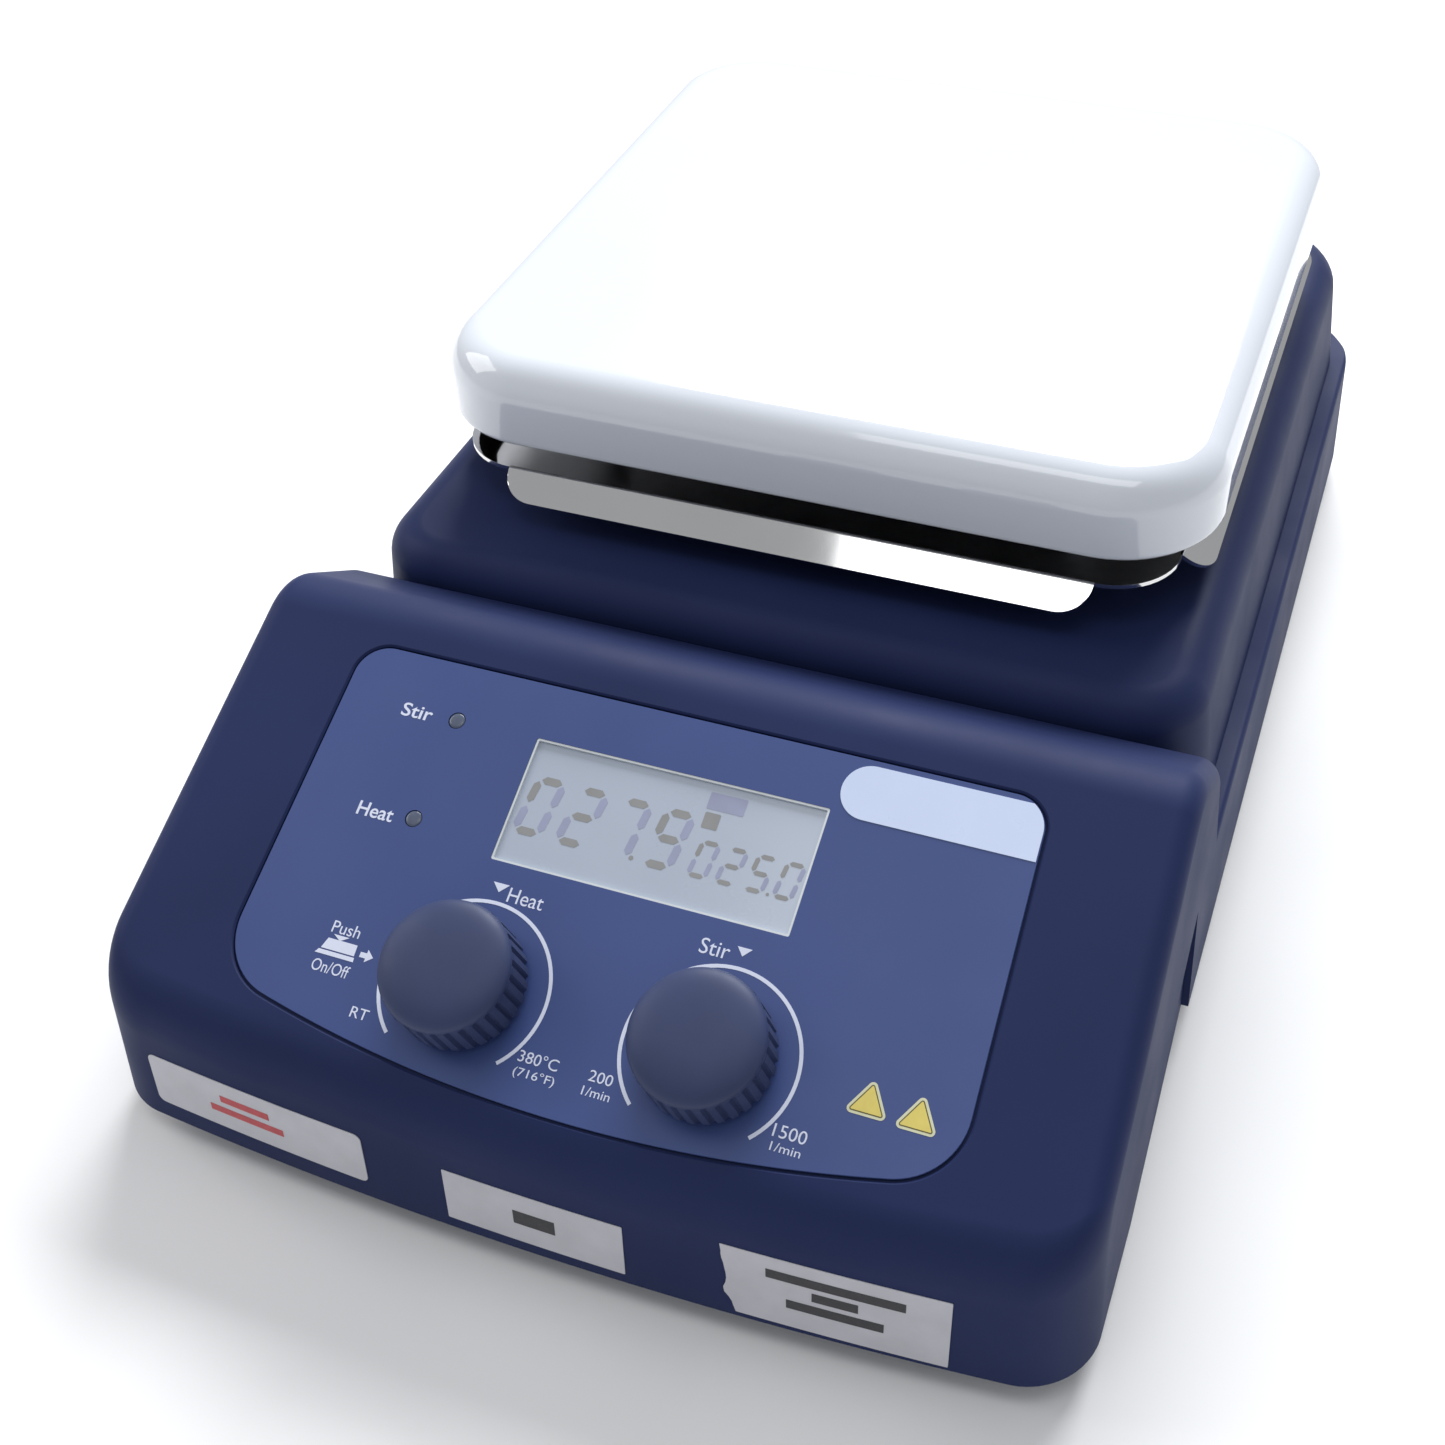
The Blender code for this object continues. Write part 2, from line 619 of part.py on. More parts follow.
def make_heater():
    probe_hole = PROBE_RADIUS + CLEAR
    layers = [
        ("heating_element", HEATER_BOTTOM, HEATER_THICKNESS, MICA),
        ("insulation_pad", INSULATION_BOTTOM, INSULATION_THICKNESS, FIBRE),
        ("clamp_sheet", CLAMP_BOTTOM, CLAMP_THICKNESS, ZINC),
    ]
    for name, low, thickness, material in layers:
        side = HEATER_SIDE
        layer = keep(name, over_plate(name, side, PLATE_CORNER / 2, low, low + thickness), material)
        hole = rod_mesh("hole", probe_hole, low - WALL, low + thickness + WALL, (0, PLATE_Y), 20)
        cut(layer, name + "_hole", hole)
    top = PLATE_CEILING - CLEAR
    stem_bottom = CLAMP_BOTTOM - PROBE_STEM_LENGTH
    profile = [
        (0, top),
        (PROBE_RADIUS, top),
        (PROBE_RADIUS, CLAMP_BOTTOM),
        (PROBE_STEM_RADIUS, CLAMP_BOTTOM),
        (PROBE_STEM_RADIUS, stem_bottom),
        (0, stem_bottom),
    ]
    turned("plate_probe", profile, NICKEL, (0, PLATE_Y), 20)
    for place, (x, y) in pillar_places().items():
        mesh = rod_mesh("pillar", PILLAR_RADIUS, DECK_Z + CLEAR, CLAMP_BOTTOM - CLEAR, (x, y), 20)
        keep("plate_pillar_" + place, mesh, ZINC)


def flap_mesh(side, reach, half_length):
    """One bent-down edge of the shield: reach is from the plate's middle to the bend."""
    points = [(half_length, -BEND_LAP)]
    end, inner = FLAP_LENGTH - FLAP_CORNER, half_length - FLAP_CORNER
    points += arc((inner, end), FLAP_CORNER, 0, math.pi / 2, 4)
    points += arc((-inner, end), FLAP_CORNER, math.pi / 2, math.pi, 4)
    points.append((-half_length, -BEND_LAP))
    mesh = slab("flap", points, -SHEET, 0)
    bend = Matrix.Translation((0, reach, SHIELD_TOP - BEND_DROP)) @ Matrix.Rotation(-FLAP_SLOPE, 4, "X")
    mesh.transform(Matrix.Translation((0, PLATE_Y, 0)) @ Matrix.Rotation(side, 4, "Z") @ bend)
    return mesh


def make_shield():
    outer = rectangle(SHIELD_WIDTH, SHIELD_DEPTH, SHIELD_CORNER, 5)
    sheet = slab("heat_shield", outer, SHIELD_BOTTOM, SHIELD_TOP, (0, PLATE_Y))
    shield = keep("heat_shield", sheet, MIRROR_STEEL)
    for quarter in range(4):
        sides = (SHIELD_WIDTH, SHIELD_DEPTH) if quarter % 2 else (SHIELD_DEPTH, SHIELD_WIDTH)
        reach, half_length = sides[0] / 2, sides[1] / 2 - SHIELD_CORNER
        add(shield, f"flap_{quarter}", flap_mesh(quarter * math.pi / 2, reach, half_length))
    radius = PILLAR_RADIUS + CLEAR
    holes = [
        rod_mesh("hole", radius, SHIELD_BOTTOM - WALL, SHIELD_TOP + WALL, place, 20)
        for place in pillar_places().values()
    ]
    cut(shield, "shield_holes", joined("shield_holes", holes))


# Stirring drive


def pivot(name, matrix):
    """An empty on a joint's axis."""
    made = bpy.data.objects.new(name, None)
    PARTS.objects.link(made)
    made.empty_display_size = 0.01
    made.matrix_world = matrix
    return made


def make_drive():
    bracket_low = BRACKET_TOP - BRACKET_THICKNESS
    flat = rectangle(BRACKET_LENGTH, BRACKET_WIDTH, 6 * MM)
    mesh = slab("motor_bracket", flat, bracket_low, BRACKET_TOP, (0, PLATE_Y))
    bracket = keep("motor_bracket", mesh, ZINC)
    shaft_hole = rod_mesh("hole", 2 * SHAFT_RADIUS, bracket_low - WALL, DECK_Z, (0, PLATE_Y))
    cut(bracket, "bracket_hole", shaft_hole)
    bevel, bore = 2 * MM, SHAFT_RADIUS + RUNNING
    profile = [
        (bore, MOTOR_TOP),
        (MOTOR_RADIUS - bevel, MOTOR_TOP),
        (MOTOR_RADIUS, MOTOR_TOP - bevel),
        (MOTOR_RADIUS, MOTOR_BOTTOM + bevel),
        (MOTOR_RADIUS - bevel, MOTOR_BOTTOM),
        (bore, MOTOR_BOTTOM),
    ]
    turned("motor_body", profile, DARK_STEEL, (0, PLATE_Y))
    axis = pivot("motor_axis", Matrix.Translation((0, PLATE_Y, 0)))
    pieces = [keep("motor_shaft", rod_mesh("shaft", SHAFT_RADIUS, SHAFT_BOTTOM, SHAFT_TOP), ZINC)]
    pieces.append(make_fan(axis))
    bar = rectangle(CARRIER_LENGTH, CARRIER_WIDTH, CARRIER_WIDTH / 2 - MM)
    top = CARRIER_BOTTOM + CARRIER_THICKNESS
    pieces.append(keep("magnet_carrier", slab("magnet_carrier", bar, CARRIER_BOTTOM, top), ZINC))
    for name, x in (("left", -MAGNET_REACH), ("right", MAGNET_REACH)):
        mesh = rod_mesh("magnet", MAGNET_RADIUS, MAGNET_BOTTOM, MAGNET_TOP, (x, 0))
        pieces.append(keep("drive_magnet_" + name, mesh, NICKEL))
    for piece in pieces:
        piece.parent = axis


def make_fan(axis):
    top = SHAFT_BOTTOM - CLEAR
    hub = rod_mesh("motor_fan", FAN_HUB_RADIUS, top - FAN_HEIGHT, top)
    fan = keep("motor_fan", hub, BLACK)
    root = FAN_HUB_RADIUS - 0.8 * MM
    length = FAN_RADIUS - root
    blades = []
    for blade in range(FAN_BLADES):
        mesh = box_mesh("blade", (length, 1.2 * MM, FAN_HEIGHT * 0.8))
        pitch = Matrix.Rotation(math.radians(35), 4, "X")
        out = Matrix.Translation((root + length / 2, 0, top - FAN_HEIGHT / 2))
        mesh.transform(Matrix.Rotation(math.tau * blade / FAN_BLADES, 4, "Z") @ out @ pitch)
        blades.append(mesh)
    add(fan, "fan_blades", joined("fan_blades", blades)).parent = axis
    return fan


# Control panel


def make_overlay():
    sheet = slab("panel_overlay", overlay_outline(), -OVERLAY_THICKNESS, 0)
    overlay = keep("panel_overlay", on_panel(sheet), BLUE, smooth=False)
    holes = [display_shape("hole", 0, -OVERLAY_RECESS, OVERLAY_RECESS)]
    sizes = [(place, STEM_HOLE, 20) for place in KNOB_PLACES.values()]
    sizes += [(place, LAMP_RADIUS + CLEAR, 16) for place in LAMP_PLACES.values()]
    for place, radius, steps in sizes:
        mesh = rod_mesh("hole", radius, -OVERLAY_RECESS, OVERLAY_RECESS, steps=steps)
        holes.append(on_panel(mesh, *place))
    cut(overlay, "overlay_holes", joined("overlay_holes", holes))


def make_display():
    window = display_shape("display_window", -CLEAR, -OVERLAY_THICKNESS, 0)
    keep("display_window", window, SCREEN, smooth=False)
    low = -OVERLAY_RECESS - DISPLAY_THICKNESS
    module = display_shape("display_module", DISPLAY_RIM, low, -OVERLAY_RECESS)
    keep("display_module", module, BLACK, smooth=False)
    flat = rectangle(2 * BOARD_HALF_WIDTH, BOARD_HIGH - BOARD_LOW, 2 * MM, 2)
    board = slab("control_board", flat, -BOARD_DROP - BOARD_THICKNESS, -BOARD_DROP)
    board = on_panel(board, 0, (BOARD_LOW + BOARD_HIGH) / 2)
    keep("control_board", board, GREEN_BOARD, smooth=False)
    for name, place in LAMP_PLACES.items():
        mesh = rod_mesh("lamp", LAMP_RADIUS, CLEAR - BOARD_DROP, 0, steps=16)
        keep(name + "_lamp", on_panel(mesh, *place), LENS)


def knob_mesh():
    """A ribbed skirt under a smooth, slightly domed cap, upright at the origin."""
    low, top = KNOB_RISE, KNOB_RISE + KNOB_HEIGHT
    cap = top - KNOB_CAP
    ribbed = KNOB_RADIUS - KNOB_RIB_DEPTH
    levels = [(ribbed, low, True), (ribbed, cap, True), (KNOB_RADIUS, cap, False)]
    levels += [
        (KNOB_RADIUS, cap + 0.40 * KNOB_CAP, False),
        (KNOB_RADIUS * 0.95, cap + 0.72 * KNOB_CAP, False),
        (KNOB_RADIUS * 0.82, cap + 0.9 * KNOB_CAP, False),
        (KNOB_RADIUS * 0.45, top, False),
    ]
    rings = []
    for radius, z, is_ribbed in levels:
        ring = []
        for step in range(2 * KNOB_RIBS):
            angle = math.pi * step / KNOB_RIBS
            reach = radius - (KNOB_RIB_DEPTH if is_ribbed and step % 2 else 0)
            ring.append((reach * math.cos(angle), reach * math.sin(angle), z))
        rings.append(ring)
    return stacked("knob", rings)


def make_control(name, place):
    """A knob on a stem that slides through a rotor, which turns in a body on the control board."""
    axis = pivot(name + "_knob_axis", Matrix.Translation(panel(*place)) @ PANEL_TURN)
    knob = keep(name + "_knob", knob_mesh(), KNOB_NAVY)
    bore = rod_mesh("bore", STEM_RADIUS + CLEAR, 0, STEM_TOP + CLEAR)
    cut(knob, name + "_knob_bore", bore).parent = axis
    stem = keep(name + "_stem", rod_mesh("stem", STEM_RADIUS, STEM_BOTTOM, STEM_TOP), ZINC)
    rotor_low = STEM_BOTTOM + MM
    ring = [
        (STEM_RADIUS + RUNNING, rotor_low + ROTOR_HEIGHT),
        (ROTOR_RADIUS, rotor_low + ROTOR_HEIGHT),
        (ROTOR_RADIUS, rotor_low),
        (STEM_RADIUS + RUNNING, rotor_low),
    ]
    rotor = turned(name + "_encoder_rotor", ring, BLACK, steps=24)
    low = CLEAR - BOARD_DROP
    block = box_mesh(
        "encoder", (ENCODER_SIDE, ENCODER_SIDE, ENCODER_HEIGHT), (0, 0, low + ENCODER_HEIGHT / 2)
    )
    body = keep(name + "_encoder_body", block, BLACK)
    chamber = rod_mesh("chamber", ROTOR_RADIUS + 2 * RUNNING, low - MM, low + ENCODER_HEIGHT + MM)
    cut(body, name + "_encoder_chamber", chamber).parent = axis
    for piece in (knob, stem, rotor, body):
        piece.parent = axis


# Base


def make_base():
    pan = keep("base_pan", console("base_pan", WALL + PAN_GAP, 4), ZINC, smooth=False)
    rear = REAR_PLATE_Y - REAR_PLATE_THICKNESS / 2 - CLEAR
    middle = (0, (FRONT + rear) / 2, (PAN_BOTTOM + PAN_TOP) / 2)
    sheet = box_mesh("sheet", (WIDTH, rear - FRONT, PAN_THICKNESS), middle)
    boolean(pan, keep("pan_sheet", sheet, cutter=True), "INTERSECT")
    width, depth, _ = POWER_BOARD_SIZE
    reach_x, reach_y = width / 2 - BOSS_INSET, depth / 2 - BOSS_INSET
    top = POWER_BOARD_Z - CLEAR
    bosses = []
    for x in (-reach_x, reach_x):
        for y in (POWER_BOARD_Y - reach_y, POWER_BOARD_Y + reach_y):
            bosses.append(rod_mesh("boss", BOSS_RADIUS, PAN_TOP - MM, top, (x, y), 16))
    add(pan, "bosses", joined("bosses", bosses))
    holes = []
    for x, y in FOOT_PLACES.values():
        radius = SCREW_RADIUS + CLEAR
        holes.append(rod_mesh("hole", radius, PAN_BOTTOM - MM, PAN_TOP + MM, (x, y), 16))
    for row in range(VENT_COUNT):
        y = PLATE_Y + (row - (VENT_COUNT - 1) / 2) * VENT_PITCH
        for x in (-VENT_LENGTH * 0.7, VENT_LENGTH * 0.7):
            slot = rectangle(VENT_LENGTH, VENT_WIDTH, VENT_WIDTH * 0.48, 3)
            holes.append(slab("vent", slot, PAN_BOTTOM - MM, PAN_TOP + MM, (x, y)))
    cut(pan, "pan_holes", joined("pan_holes", holes))


def make_feet():
    bore = SCREW_RADIUS + CLEAR
    well = SCREW_HEAD_RADIUS + 2 * CLEAR
    foot = [
        (FOOT_RADIUS * 0.88, FOOT_TOP),
        (FOOT_RADIUS, MM),
        (FOOT_RADIUS - 0.8 * MM, 0),
        (well, 0),
        (well, FOOT_WELL),
        (bore, FOOT_WELL),
        (bore, FOOT_TOP),
    ]
    head_top = FOOT_WELL - CLEAR
    screw_top = PAN_TOP + 2 * MM
    screw = [
        (0, screw_top),
        (SCREW_RADIUS, screw_top),
        (SCREW_RADIUS, head_top),
        (SCREW_HEAD_RADIUS, head_top),
        (SCREW_HEAD_RADIUS, head_top - SCREW_HEAD),
        (0, head_top - SCREW_HEAD),
    ]
    for place, at in FOOT_PLACES.items():
        turned("foot_" + place, foot, RUBBER, at, 24)
        turned("foot_screw_" + place, screw, ZINC, at, 16)


# Rear panel and power supply

SOCKET_FACE_Y = REAR_PLATE_Y + REAR_PLATE_THICKNESS / 2 + SOCKET_PROUD


def socket_box(name, x, size, z=REAR_OPENING_Z, grow=0.0):
    width, depth, height = size
    sides = (width + 2 * grow, depth + 2 * grow, height + 2 * grow)
    return box_mesh(name, sides, (x, SOCKET_FACE_Y - depth / 2, z))


def well_box(name, x, size, z=REAR_OPENING_Z):
    """A well cut inwards from the sockets' face, run out past it."""
    width, depth, height = size
    return box_mesh(name, (width, 2 * depth, height), (x, SOCKET_FACE_Y, z))


def inlet_heights():
    """The middle heights of the inlet's well and of the fuse drawer under it."""
    rim = (INLET_SIZE[2] - INLET_WELL[2] - DRAWER_SIZE[2]) / 3
    bottom = REAR_OPENING_Z - INLET_SIZE[2] / 2
    drawer_z = bottom + rim + DRAWER_SIZE[2] / 2
    return drawer_z + DRAWER_SIZE[2] / 2 + rim + INLET_WELL[2] / 2, drawer_z


def along_y(mesh, x, y, z):
    """Lays an upright mesh down so that its top faces the back."""
    mesh.transform(Matrix.Translation((x, y, z)) @ Matrix.Rotation(-math.pi / 2, 4, "X"))
    return mesh


def make_rear_plate():
    width, height = (side - 2 * CLEAR for side in REAR_OPENING)
    mesh = box_mesh("rear_plate", (width, REAR_PLATE_THICKNESS, height), (0, REAR_PLATE_Y, REAR_OPENING_Z))
    plate = keep("rear_plate", mesh, BLACK, smooth=False)
    probe_hole = rod_mesh("hole", PROBE_SOCKET_RADIUS + CLEAR, -WALL, WALL)
    holes = [
        socket_box("hole", INLET_X, INLET_SIZE, grow=CLEAR),
        socket_box("hole", SERIAL_X, SERIAL_SIZE, grow=CLEAR),
        along_y(probe_hole, PROBE_SOCKET_X, REAR_PLATE_Y, REAR_OPENING_Z),
    ]
    cut(plate, "rear_plate_holes", joined("rear_plate_holes", holes))


def make_inlet():
    well_z, drawer_z = inlet_heights()
    block = socket_box("inlet_socket", INLET_X, INLET_SIZE)
    inlet = keep("inlet_socket", block, BLACK, smooth=False)
    wells = [
        well_box("well", INLET_X, INLET_WELL, well_z),
        well_box("well", INLET_X, DRAWER_SIZE, drawer_z),
    ]
    cut(inlet, "inlet_wells", joined("inlet_wells", wells))
    pins = {"live": (INLET_PIN_PITCH, -1), "neutral": (-INLET_PIN_PITCH, -1), "earth": (0, 1)}
    length = INLET_PIN[1]
    y = SOCKET_FACE_Y - INLET_WELL[1] + CLEAR + length / 2
    for name, (x, up) in pins.items():
        mesh = box_mesh("pin", INLET_PIN, (INLET_X + x, y, well_z + up * 2 * MM))
        keep("inlet_pin_" + name, mesh, NICKEL, smooth=False)
    make_fuse_drawer(drawer_z)


def make_fuse_drawer(z):
    width, depth, height = (side - 2 * CLEAR for side in DRAWER_SIZE)
    middle_y = SOCKET_FACE_Y - depth / 2
    slide = pivot("fuse_drawer_slide", Matrix.Translation((INLET_X, middle_y, z)))
    drawer = keep("fuse_drawer", box_mesh("fuse_drawer", (width, depth, height)), BLACK, smooth=False)
    drawer.parent = slide
    pocket_half = FUSE_RADIUS + CLEAR
    floor = -height / 2 + DRAWER_WALL
    pockets = []
    for name, y in (("spare", -1.5 * pocket_half), ("working", 1.1 * pocket_half)):
        pocket = (FUSE_LENGTH + 2 * CLEAR, 2 * pocket_half, height)
        pockets.append(box_mesh("pocket", pocket, (0, y, floor + height / 2)))
        fuse = rod_mesh("fuse", FUSE_RADIUS, -FUSE_LENGTH / 2, FUSE_LENGTH / 2, steps=16)
        place = Matrix.Translation((0, y, floor + CLEAR + FUSE_RADIUS))
        fuse.transform(place @ Matrix.Rotation(math.pi / 2, 4, "Y"))
        keep(name + "_fuse", fuse, NICKEL).parent = slide
    cut(drawer, "fuse_pockets", joined("fuse_pockets", pockets)).parent = slide


def make_sockets():
    serial = keep("serial_socket", socket_box("serial_socket", SERIAL_X, SERIAL_SIZE), ZINC, smooth=False)
    cut(serial, "serial_well", well_box("serial_well", SERIAL_X, SERIAL_WELL))
    low = -PROBE_SOCKET_LENGTH
    place = (PROBE_SOCKET_X, SOCKET_FACE_Y, REAR_OPENING_Z)
    probe = keep("probe_socket", along_y(rod_mesh("probe", PROBE_SOCKET_RADIUS, low, 0), *place), NICKEL)
    bore = rod_mesh("bore", PROBE_SOCKET_BORE, -PROBE_SOCKET_DEPTH, PROBE_SOCKET_DEPTH)
    cut(probe, "probe_socket_bore", along_y(bore, *place))


def make_power_supply():
    _, _, thickness = POWER_BOARD_SIZE
    board_top = POWER_BOARD_Z + thickness
    mesh = box_mesh("power_board", POWER_BOARD_SIZE, (0, POWER_BOARD_Y, POWER_BOARD_Z + thickness / 2))
    keep("power_board", mesh, GREEN_BOARD, smooth=False)
    low = board_top + CLEAR
    place = (TRANSFORMER_X, POWER_BOARD_Y, low + TRANSFORMER_SIZE[2] / 2)
    keep("transformer", box_mesh("transformer", TRANSFORMER_SIZE, place), COPPER, smooth=False)
    width, depth, height = SINK_SIZE
    sink = box_mesh("heat_sink", SINK_SIZE, (SINK_X, POWER_BOARD_Y, low + height / 2))
    sink = keep("heat_sink", sink, ALUMINIUM, smooth=False)
    gap = (width - SINK_FINS * SINK_FIN) / (SINK_FINS - 1)
    slots = []
    for slot in range(SINK_FINS - 1):
        x = SINK_X - width / 2 + SINK_FIN + gap / 2 + slot * (gap + SINK_FIN)
        middle = (x, POWER_BOARD_Y, low + height / 2 + SINK_BASE)
        slots.append(box_mesh("slot", (gap, 2 * depth, height), middle))
    cut(sink, "sink_slots", joined("sink_slots", slots))


make_housing()
make_plate()
make_heater()
make_shield()
make_drive()
make_overlay()
make_display()
for control, control_place in KNOB_PLACES.items():
    make_control(control, control_place)
make_base()
make_feet()
make_rear_plate()
make_inlet()
make_sockets()
make_power_supply()
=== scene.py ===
"""Magnetic stirrer with a hot plate: the finished surfaces, floor, lights and camera.

Metres, +Z up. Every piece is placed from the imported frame. The control panel slopes: panel() turns
a place on it, given as distance to the right, distance up the slope and height above it, into a
point in space.
"""

import json
import math
import random

import bmesh
import bpy
from mathutils import Matrix, Vector


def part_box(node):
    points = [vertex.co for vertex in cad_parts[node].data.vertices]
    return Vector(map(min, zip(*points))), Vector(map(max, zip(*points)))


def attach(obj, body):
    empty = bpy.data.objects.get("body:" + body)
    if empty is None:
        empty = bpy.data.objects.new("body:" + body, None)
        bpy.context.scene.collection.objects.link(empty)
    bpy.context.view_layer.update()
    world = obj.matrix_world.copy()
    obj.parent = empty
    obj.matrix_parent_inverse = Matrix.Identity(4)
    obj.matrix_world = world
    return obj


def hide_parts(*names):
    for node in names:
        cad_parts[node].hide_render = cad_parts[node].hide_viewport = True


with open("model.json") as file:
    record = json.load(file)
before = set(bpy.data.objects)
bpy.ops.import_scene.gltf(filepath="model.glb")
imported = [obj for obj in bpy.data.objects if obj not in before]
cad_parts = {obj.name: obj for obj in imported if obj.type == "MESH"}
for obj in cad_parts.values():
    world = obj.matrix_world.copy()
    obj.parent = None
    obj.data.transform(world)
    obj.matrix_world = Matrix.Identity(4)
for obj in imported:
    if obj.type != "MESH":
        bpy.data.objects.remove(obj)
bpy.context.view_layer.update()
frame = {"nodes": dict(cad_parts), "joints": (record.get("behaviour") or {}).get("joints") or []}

MM = 0.001
NODES = frame["nodes"]
JOINTS = {joint["name"]: joint for joint in frame["joints"]}

# Sizes read from the frame
housing_low, housing_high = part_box("housing")
plate_low, plate_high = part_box("work_plate")
knob_axis = Vector(JOINTS["heat_turn"]["axis"])
heat_point = Vector(JOINTS["heat_turn"]["pos_m"])
stir_point = Vector(JOINTS["stir_turn"]["pos_m"])

WIDTH = housing_high.x - housing_low.x
FRONT, REAR = housing_low.y, housing_high.y
SKIRT_BOTTOM = housing_low.z
PLATE_Y = (plate_low.y + plate_high.y) / 2
PANEL_SLOPE = math.atan2(-knob_axis.y, knob_axis.z)
PANEL_FRONT_Z = heat_point.z - (heat_point.y - FRONT) * math.tan(PANEL_SLOPE)
SOCKET_FACE_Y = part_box("serial_socket")[1].y

# Housing
WALL = 3 * MM
WALL_LEAN = 0.045
FRONT_LEAN = 0.047
FRONT_BOW = 990 * MM
FRONT_CORNER, REAR_CORNER = 14 * MM, 30 * MM
EDGE_ROUND, LEDGE_ROUND = 5 * MM, 1.4 * MM
LEDGE_Z, LEDGE_WIDTH = 40 * MM, 4.5 * MM
DECK_TOP_Z = 74 * MM
DECK_FRONT = -57.5 * MM
DECK_LEAN = 0.105
DECK_ROUND = 8 * MM
DECK_FRONT_CORNER, DECK_REAR_CORNER = 17 * MM, 27 * MM
DECK_HOLE_RADIUS = 43 * MM
RIDGE_Y = -82 * MM
VALLEY_Y, VALLEY_Z = -56 * MM, 64.6 * MM
RIDGE_FOOT_Y = -50 * MM
RIDGE_ROUND, FOOT_ROUND, NOSE_ROUND = 14 * MM, 11 * MM, 14 * MM
GRIP_REAR_Y, GRIP_FRONT_Y = -75 * MM, -134 * MM
GRIP_DEPTH = 1.6 * MM
GRIP_TOP_REAR_Z, GRIP_TOP_FRONT_Z = 38 * MM, 13 * MM

# Panel
FILM_HALF_WIDTH = 76.3 * MM
FILM_FLARE = 0.027
FILM_LOW, FILM_HIGH = 9.2 * MM, 95.4 * MM
FILM_BOW = 290 * MM
FILM_LOW_CORNER, FILM_HIGH_CORNER = 15 * MM, 7 * MM
FILM_THICKNESS, FILM_RECESS, FILM_GROOVE = 0.7 * MM, 1 * MM, 0.5 * MM
RECESS_CHAMFER = 0.45 * MM
WINDOW_PLACE, WINDOW_SIZE = (1.8 * MM, 69.4 * MM), (64.7 * MM, 27.7 * MM)
LAMP_RADIUS = 1.8 * MM
LAMP_PLACES = {"stir": (-49.3 * MM, 82.7 * MM), "heat": (-49.9 * MM, 59.6 * MM)}
STEM_HOLE = 3.6 * MM
CLEAR, LAMP_FIT = 0.3 * MM, 0.1 * MM
WINDOW_CORNER, WINDOW_MARGIN = 0.4 * MM, 2 * MM
DISPLAY_LIFT, DISPLAY_THICKNESS, DIGIT_LIFT = 0.02 * MM, 0.18 * MM, 0.21 * MM
PRINT_LIFT, PRINT_THICKNESS = 0.015 * MM, 0.03 * MM

# Knobs
KNOB_RADIUS, KNOB_RISE, KNOB_HEIGHT, KNOB_CAP = 13.7 * MM, 1.3 * MM, 14.7 * MM, 3.6 * MM
KNOB_RIBS, KNOB_RIB_DEPTH = 30, 0.75 * MM
KNOB_BORE, KNOB_BORE_TOP, KNOB_HOLLOW = 3.3 * MM, 11 * MM, 2.8 * MM
SCALE_RADIUS, SCALE_HALF_WIDTH, SCALE_START, SCALE_END = 17.7, 0.38, -138, 136.5

# Plate and shield
PLATE_CORNER, PLATE_ROUND, PLATE_WALL = 25 * MM, 9 * MM, 4 * MM
PLATE_TOP_THICKNESS = 5.4 * MM
SHIELD_HALF = (86 * MM, 93 * MM)
SHIELD_TOP = 86.2 * MM
SHIELD_CORNER = 16 * MM
SHEET = 1 * MM
FLAP_LENGTH, FLAP_CORNER, FLAP_SLOPE = 8.7 * MM, 7.5 * MM, math.radians(34)
BEND_RADIUS = 2 * MM
PILLAR_REACH, PILLAR_HOLE = 60 * MM, 4.3 * MM


# Labels on the front: how far the paper and the bars on it stand out, and how thick they are
PAPER_LIFT, PAPER_THICKNESS = 0.12 * MM, 0.16 * MM
BAR_LIFT, BAR_THICKNESS = 0.24 * MM, 0.03 * MM

# Sockets
WELL_DEPTH, WELL_HALF_WIDTH, WELL_CUT = 15 * MM, 12 * MM, 4 * MM
FUSE_CAP = 5.4 * MM
SERIAL_SHELL = ((-8.4, 4.1), (-7.0, -4.1), (7.0, -4.1), (8.4, 4.1))
SERIAL_POST_REACH, SERIAL_POST_RADIUS = 12.5 * MM, 2.4 * MM
SERIAL_PITCH, SERIAL_ROWS = 2.77 * MM, ((1.42 * MM, 5), (-1.42 * MM, 4))
PROBE_BORE, PROBE_DEPTH, PROBE_PIN_REACH = 5 * MM, 9 * MM, 3 * MM
SCREW_INSET = 4.5 * MM


# Modelling helpers


def deselect():
    bpy.ops.object.select_all(action="DESELECT")


def newest(name):
    """The object that an operator has just made, with its name."""
    made = bpy.context.active_object
    made.name = name
    made.data.name = name
    return made


def take(piece):
    """Makes a piece the only selected object."""
    deselect()
    piece.select_set(True)
    bpy.context.view_layer.objects.active = piece


def discard(piece):
    bpy.data.objects.remove(piece)


def apply(piece, kind, **settings):
    """Adds a modifier to a piece and applies it."""
    take(piece)
    step = piece.modifiers.new(kind, kind)
    for key, value in settings.items():
        setattr(step, key, value)
    bpy.ops.object.modifier_apply(modifier=step.name)


def carve(piece, tool, operation="DIFFERENCE", materials="INDEX"):
    """Cuts a tool out of a piece, or adds it, and throws the tool away."""
    apply(piece, "BOOLEAN", object=tool, operation=operation, solver="EXACT",
          material_mode=materials)
    discard(tool)


def join(name, pieces):
    take(pieces[0])
    for piece in pieces[1:]:
        piece.select_set(True)
    bpy.ops.object.join()
    return newest(name)


def smooth(piece, degrees=35):
    take(piece)
    bpy.ops.object.shade_smooth_by_angle(angle=math.radians(degrees))
    apply(piece, "WEIGHTED_NORMAL", keep_sharp=True, weight=60)


